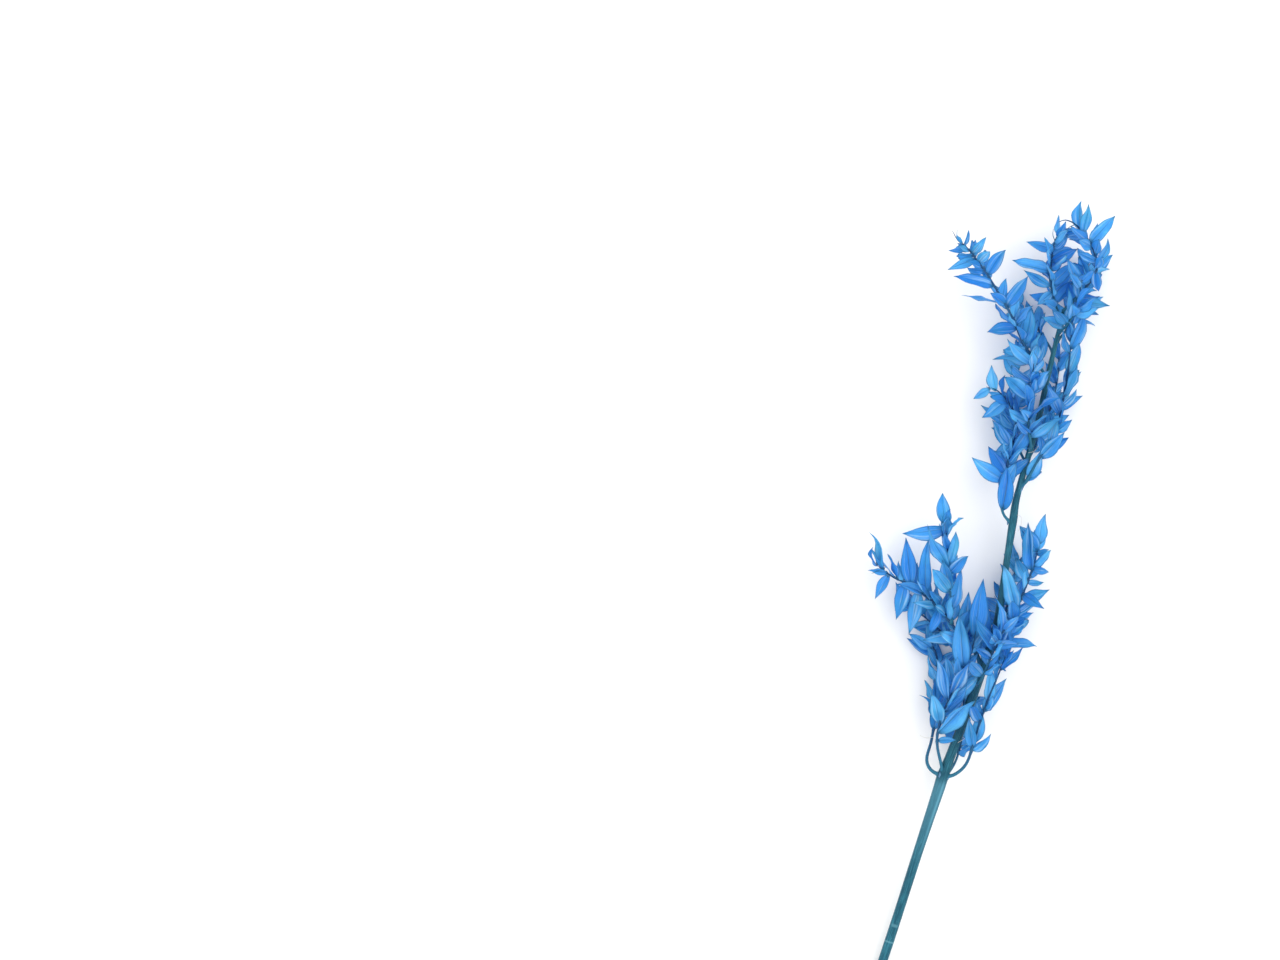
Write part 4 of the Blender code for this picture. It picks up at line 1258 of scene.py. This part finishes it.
class RUSCUS_OT_main_stem(bpy.types.Operator):
    """Build the ridged main stem with its knots, scars and cut end"""

    bl_idname = "ruscus.main_stem"
    bl_label = "Main stem"

    def execute(self, context):
        look = context.scene.ruscus_stem
        form = new_form()
        line = smooth_route(STEM_ROUTE, FINE_STEM_STEP)
        radii = [stem_radius(at.y) / (1 + look.ridge_height) for at in line]
        for k, at in enumerate(line):
            scar = math.exp(-(((at.y - SCAR_AT) / SCAR_REACH) ** 2))
            radii[k] *= 1 + SCAR_SWELL * scar + STEM_WAVE * math.sin(at.y / STEM_WAVE_REACH)
        add_tube(
            form, line, radii, STEM_SIDES, WOOD,
            lambda angle: 1 + look.ridge_height * math.cos(look.ridges * angle),
        )
        slant = math.radians(CUT_ANGLE)
        cut = bmesh.ops.bisect_plane(
            form,
            geom=form.verts[:] + form.edges[:] + form.faces[:],
            plane_co=(Vector((0, CUT_FOOT, 0)) + SHIFT) * MM,
            plane_no=Vector((0, -math.cos(slant), math.sin(slant))),
            clear_outer=True,
        )
        rim = [item for item in cut["geom_cut"] if isinstance(item, bmesh.types.BMEdge)]
        face = bmesh.ops.edgeloop_fill(form, edges=rim, mat_nr=PITH)["faces"][0]
        bmesh.ops.inset_region(form, faces=[face], thickness=PITH_INSET * MM, depth=-PITH_DEPTH * MM)
        for edge in rim:
            edge.smooth = False
        for vert in form.verts:
            vert.co.z = max(vert.co.z, FLOOR_GAP * MM)
        quirk = Quirk(
            tone=0.4, fold=0, torn=0, cup=0.2, wave=0.03, phase=0.3, curl=0.3, lean=0, taper=0
        )
        for twigs in SPRAYS.values():
            foot, after = (Vector(point) for point in twigs[0].route[:2])
            ahead = (after - foot).normalized()
            out = (ahead - ahead.dot(GROWTH) * GROWTH).normalized()
            reach = stem_radius(foot.y) - FOOT_SCALE_SUNK
            root = foot + out * reach - FOOT_SCALE_BELOW * GROWTH
            scale = scale_leaf(root, GROWTH + FOOT_SCALE_LEAN * out, -out, FOOT_SCALE_LENGTH)
            add_blade(form, scale, quirk, FOOT_SCALE_THICKNESS, SCALE_ROWS, SCALE_COLUMNS, SCALE)
        materials = [
            stem_material(look), cut_material(look), scale_material(context.scene.ruscus_twigs)
        ]
        piece = new_piece("ridged_stem", form, materials)
        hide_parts("main_stem")
        return {"FINISHED"}


class RUSCUS_OT_sprays(bpy.types.Operator):
    """Build every spray: its twigs, veined leaves, papery scales and tendrils"""

    bl_idname = "ruscus.sprays"
    bl_label = "Leafy sprays"

    def execute(self, context):
        leaf_look, twig_look = context.scene.ruscus_leaves, context.scene.ruscus_twigs
        materials = [leaf_material(leaf_look), twig_material(twig_look), scale_material(twig_look)]
        thickness = leaf_look.thickness / MM
        scale_length = twig_look.scale_length / MM
        dice = random.Random(SEED + 1)
        grown, crowd = grow()
        plain = {owner: len(leaves) for owner, (_, _, leaves) in grown.items()}
        fill(grown, crowd)
        for name, twigs in SPRAYS.items():
            form = new_form()
            for number, twig in enumerate(twigs):
                _, _, leaves = grown[name, number]
                add_twig(form, twig, leaves)
                for k, leaf in enumerate(leaves):
                    quirk = quirks(dice, k < plain[name, number])
                    add_blade(form, leaf, quirk, thickness, FINE_ROWS, FINE_COLUMNS, LEAF)
                    ahead = leaf.direction + SCALE_LEAN * GROWTH
                    scale = scale_leaf(leaf.root, ahead, -leaf.normal, scale_length)
                    add_blade(form, scale, quirk, SCALE_THICKNESS, SCALE_ROWS, SCALE_COLUMNS, SCALE)
            for route in TENDRILS.get(name, ()):
                line = smooth_route(route, TENDRIL_STEP)
                thick, thin = TENDRIL_RADII
                radii = [thick + (thin - thick) * k / (len(line) - 1) for k in range(len(line))]
                add_tube(form, line, radii, TENDRIL_SIDES, TWIG)
            piece = new_piece(name.replace("_spray", "_leaves"), form, materials)
            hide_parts(name)
        return {"FINISHED"}


class RUSCUS_OT_fibres(bpy.types.Operator):
    """Build the few pale fibres that are caught on the stem"""

    bl_idname = "ruscus.fibres"
    bl_label = "Loose fibres"

    def execute(self, context):
        form = new_form()
        for route in FIBRES:
            line = smooth_route(route, FIBRE_STEP)
            add_tube(form, line, [FIBRE_RADIUS] * len(line), FIBRE_SIDES, 0)
        piece = new_piece("loose_fibres", form, [fibre_material(context.scene.ruscus_twigs)])
        return {"FINISHED"}


def soft_light(name, size, power, place):
    """A round area light of a size in m that is turned to the middle of the stem."""
    light = bpy.data.lights.new(name, "AREA")
    light.shape = "DISK"
    light.size = size
    light.energy = power
    lamp = add_object(name, light)
    lamp.location = place
    lamp.rotation_mode = "QUATERNION"
    lamp.rotation_quaternion = (LIGHT_AIM - place).to_track_quat("-Z", "Y")


class RUSCUS_OT_stage(bpy.types.Operator):
    """Build the pale floor, the soft light and the camera"""

    bl_idname = "ruscus.stage"
    bl_label = "Floor, light and camera"

    def execute(self, context):
        scene, look = context.scene, context.scene.ruscus_stage
        form = bmesh.new()
        bmesh.ops.create_grid(form, x_segments=1, y_segments=1, size=FLOOR_HALF_WIDTH)
        mesh = bpy.data.meshes.new("pale_floor")
        form.to_mesh(mesh)
        form.free()
        mesh.materials.append(floor_material(look))
        floor = add_object("pale_floor", mesh)
        soft_light("key_light", KEY_SIZE, look.light_power, KEY_PLACE)
        soft_light("fill_light", FILL_SIZE, look.light_power * FILL_SHARE, FILL_PLACE)
        world = bpy.data.worlds.new("studio")
        world.use_nodes = True
        sky = world.node_tree.nodes["Background"]
        sky.inputs["Color"].default_value = (1, 1, 1, 1)
        sky.inputs["Strength"].default_value = look.sky
        scene.world = world
        scene.view_settings.view_transform = "Standard"
        lens = bpy.data.cameras.new("overhead_camera")
        lens.lens = CAMERA_LENS
        camera = add_object("overhead_camera", lens)
        over = (CAMERA_OVER + SHIFT) * MM
        over.z = look.camera_height
        camera.matrix_world = Matrix.Translation(over) @ Matrix.Rotation(look.camera_turn, 4, "Z")
        scene.camera = camera
        return {"FINISHED"}


class RUSCUS_PT_panel(bpy.types.Panel):
    """The steps that build the stem, in order"""

    bl_idname = "RUSCUS_PT_panel"
    bl_label = "Dried ruscus stem"
    bl_space_type = "VIEW_3D"
    bl_region_type = "UI"
    bl_category = "Ruscus"

    def draw(self, context):
        for group in GROUPS:
            look = getattr(context.scene, group)
            box = self.layout.box()
            for key in look.bl_rna.properties.keys():
                if key not in ("rna_type", "name"):
                    box.prop(look, key)
        for operator in OPERATORS:
            self.layout.operator(operator.bl_idname)


GROUPS = {
    "ruscus_stem": StemLook,
    "ruscus_leaves": LeafLook,
    "ruscus_twigs": TwigLook,
    "ruscus_stage": StageLook,
}
OPERATORS = (RUSCUS_OT_stage, RUSCUS_OT_main_stem, RUSCUS_OT_sprays, RUSCUS_OT_fibres)


def register():
    for made in (*GROUPS.values(), *OPERATORS, RUSCUS_PT_panel):
        bpy.utils.register_class(made)
    for name, group in GROUPS.items():
        setattr(bpy.types.Scene, name, PointerProperty(type=group))


def unregister():
    for name in GROUPS:
        delattr(bpy.types.Scene, name)
    for made in reversed((*GROUPS.values(), *OPERATORS, RUSCUS_PT_panel)):
        bpy.utils.unregister_class(made)


def main():
    register()
    bpy.ops.ruscus.stage()
    bpy.ops.ruscus.main_stem()
    bpy.ops.ruscus.sprays()
    bpy.ops.ruscus.fibres()


if __name__ == "__main__":
    main()
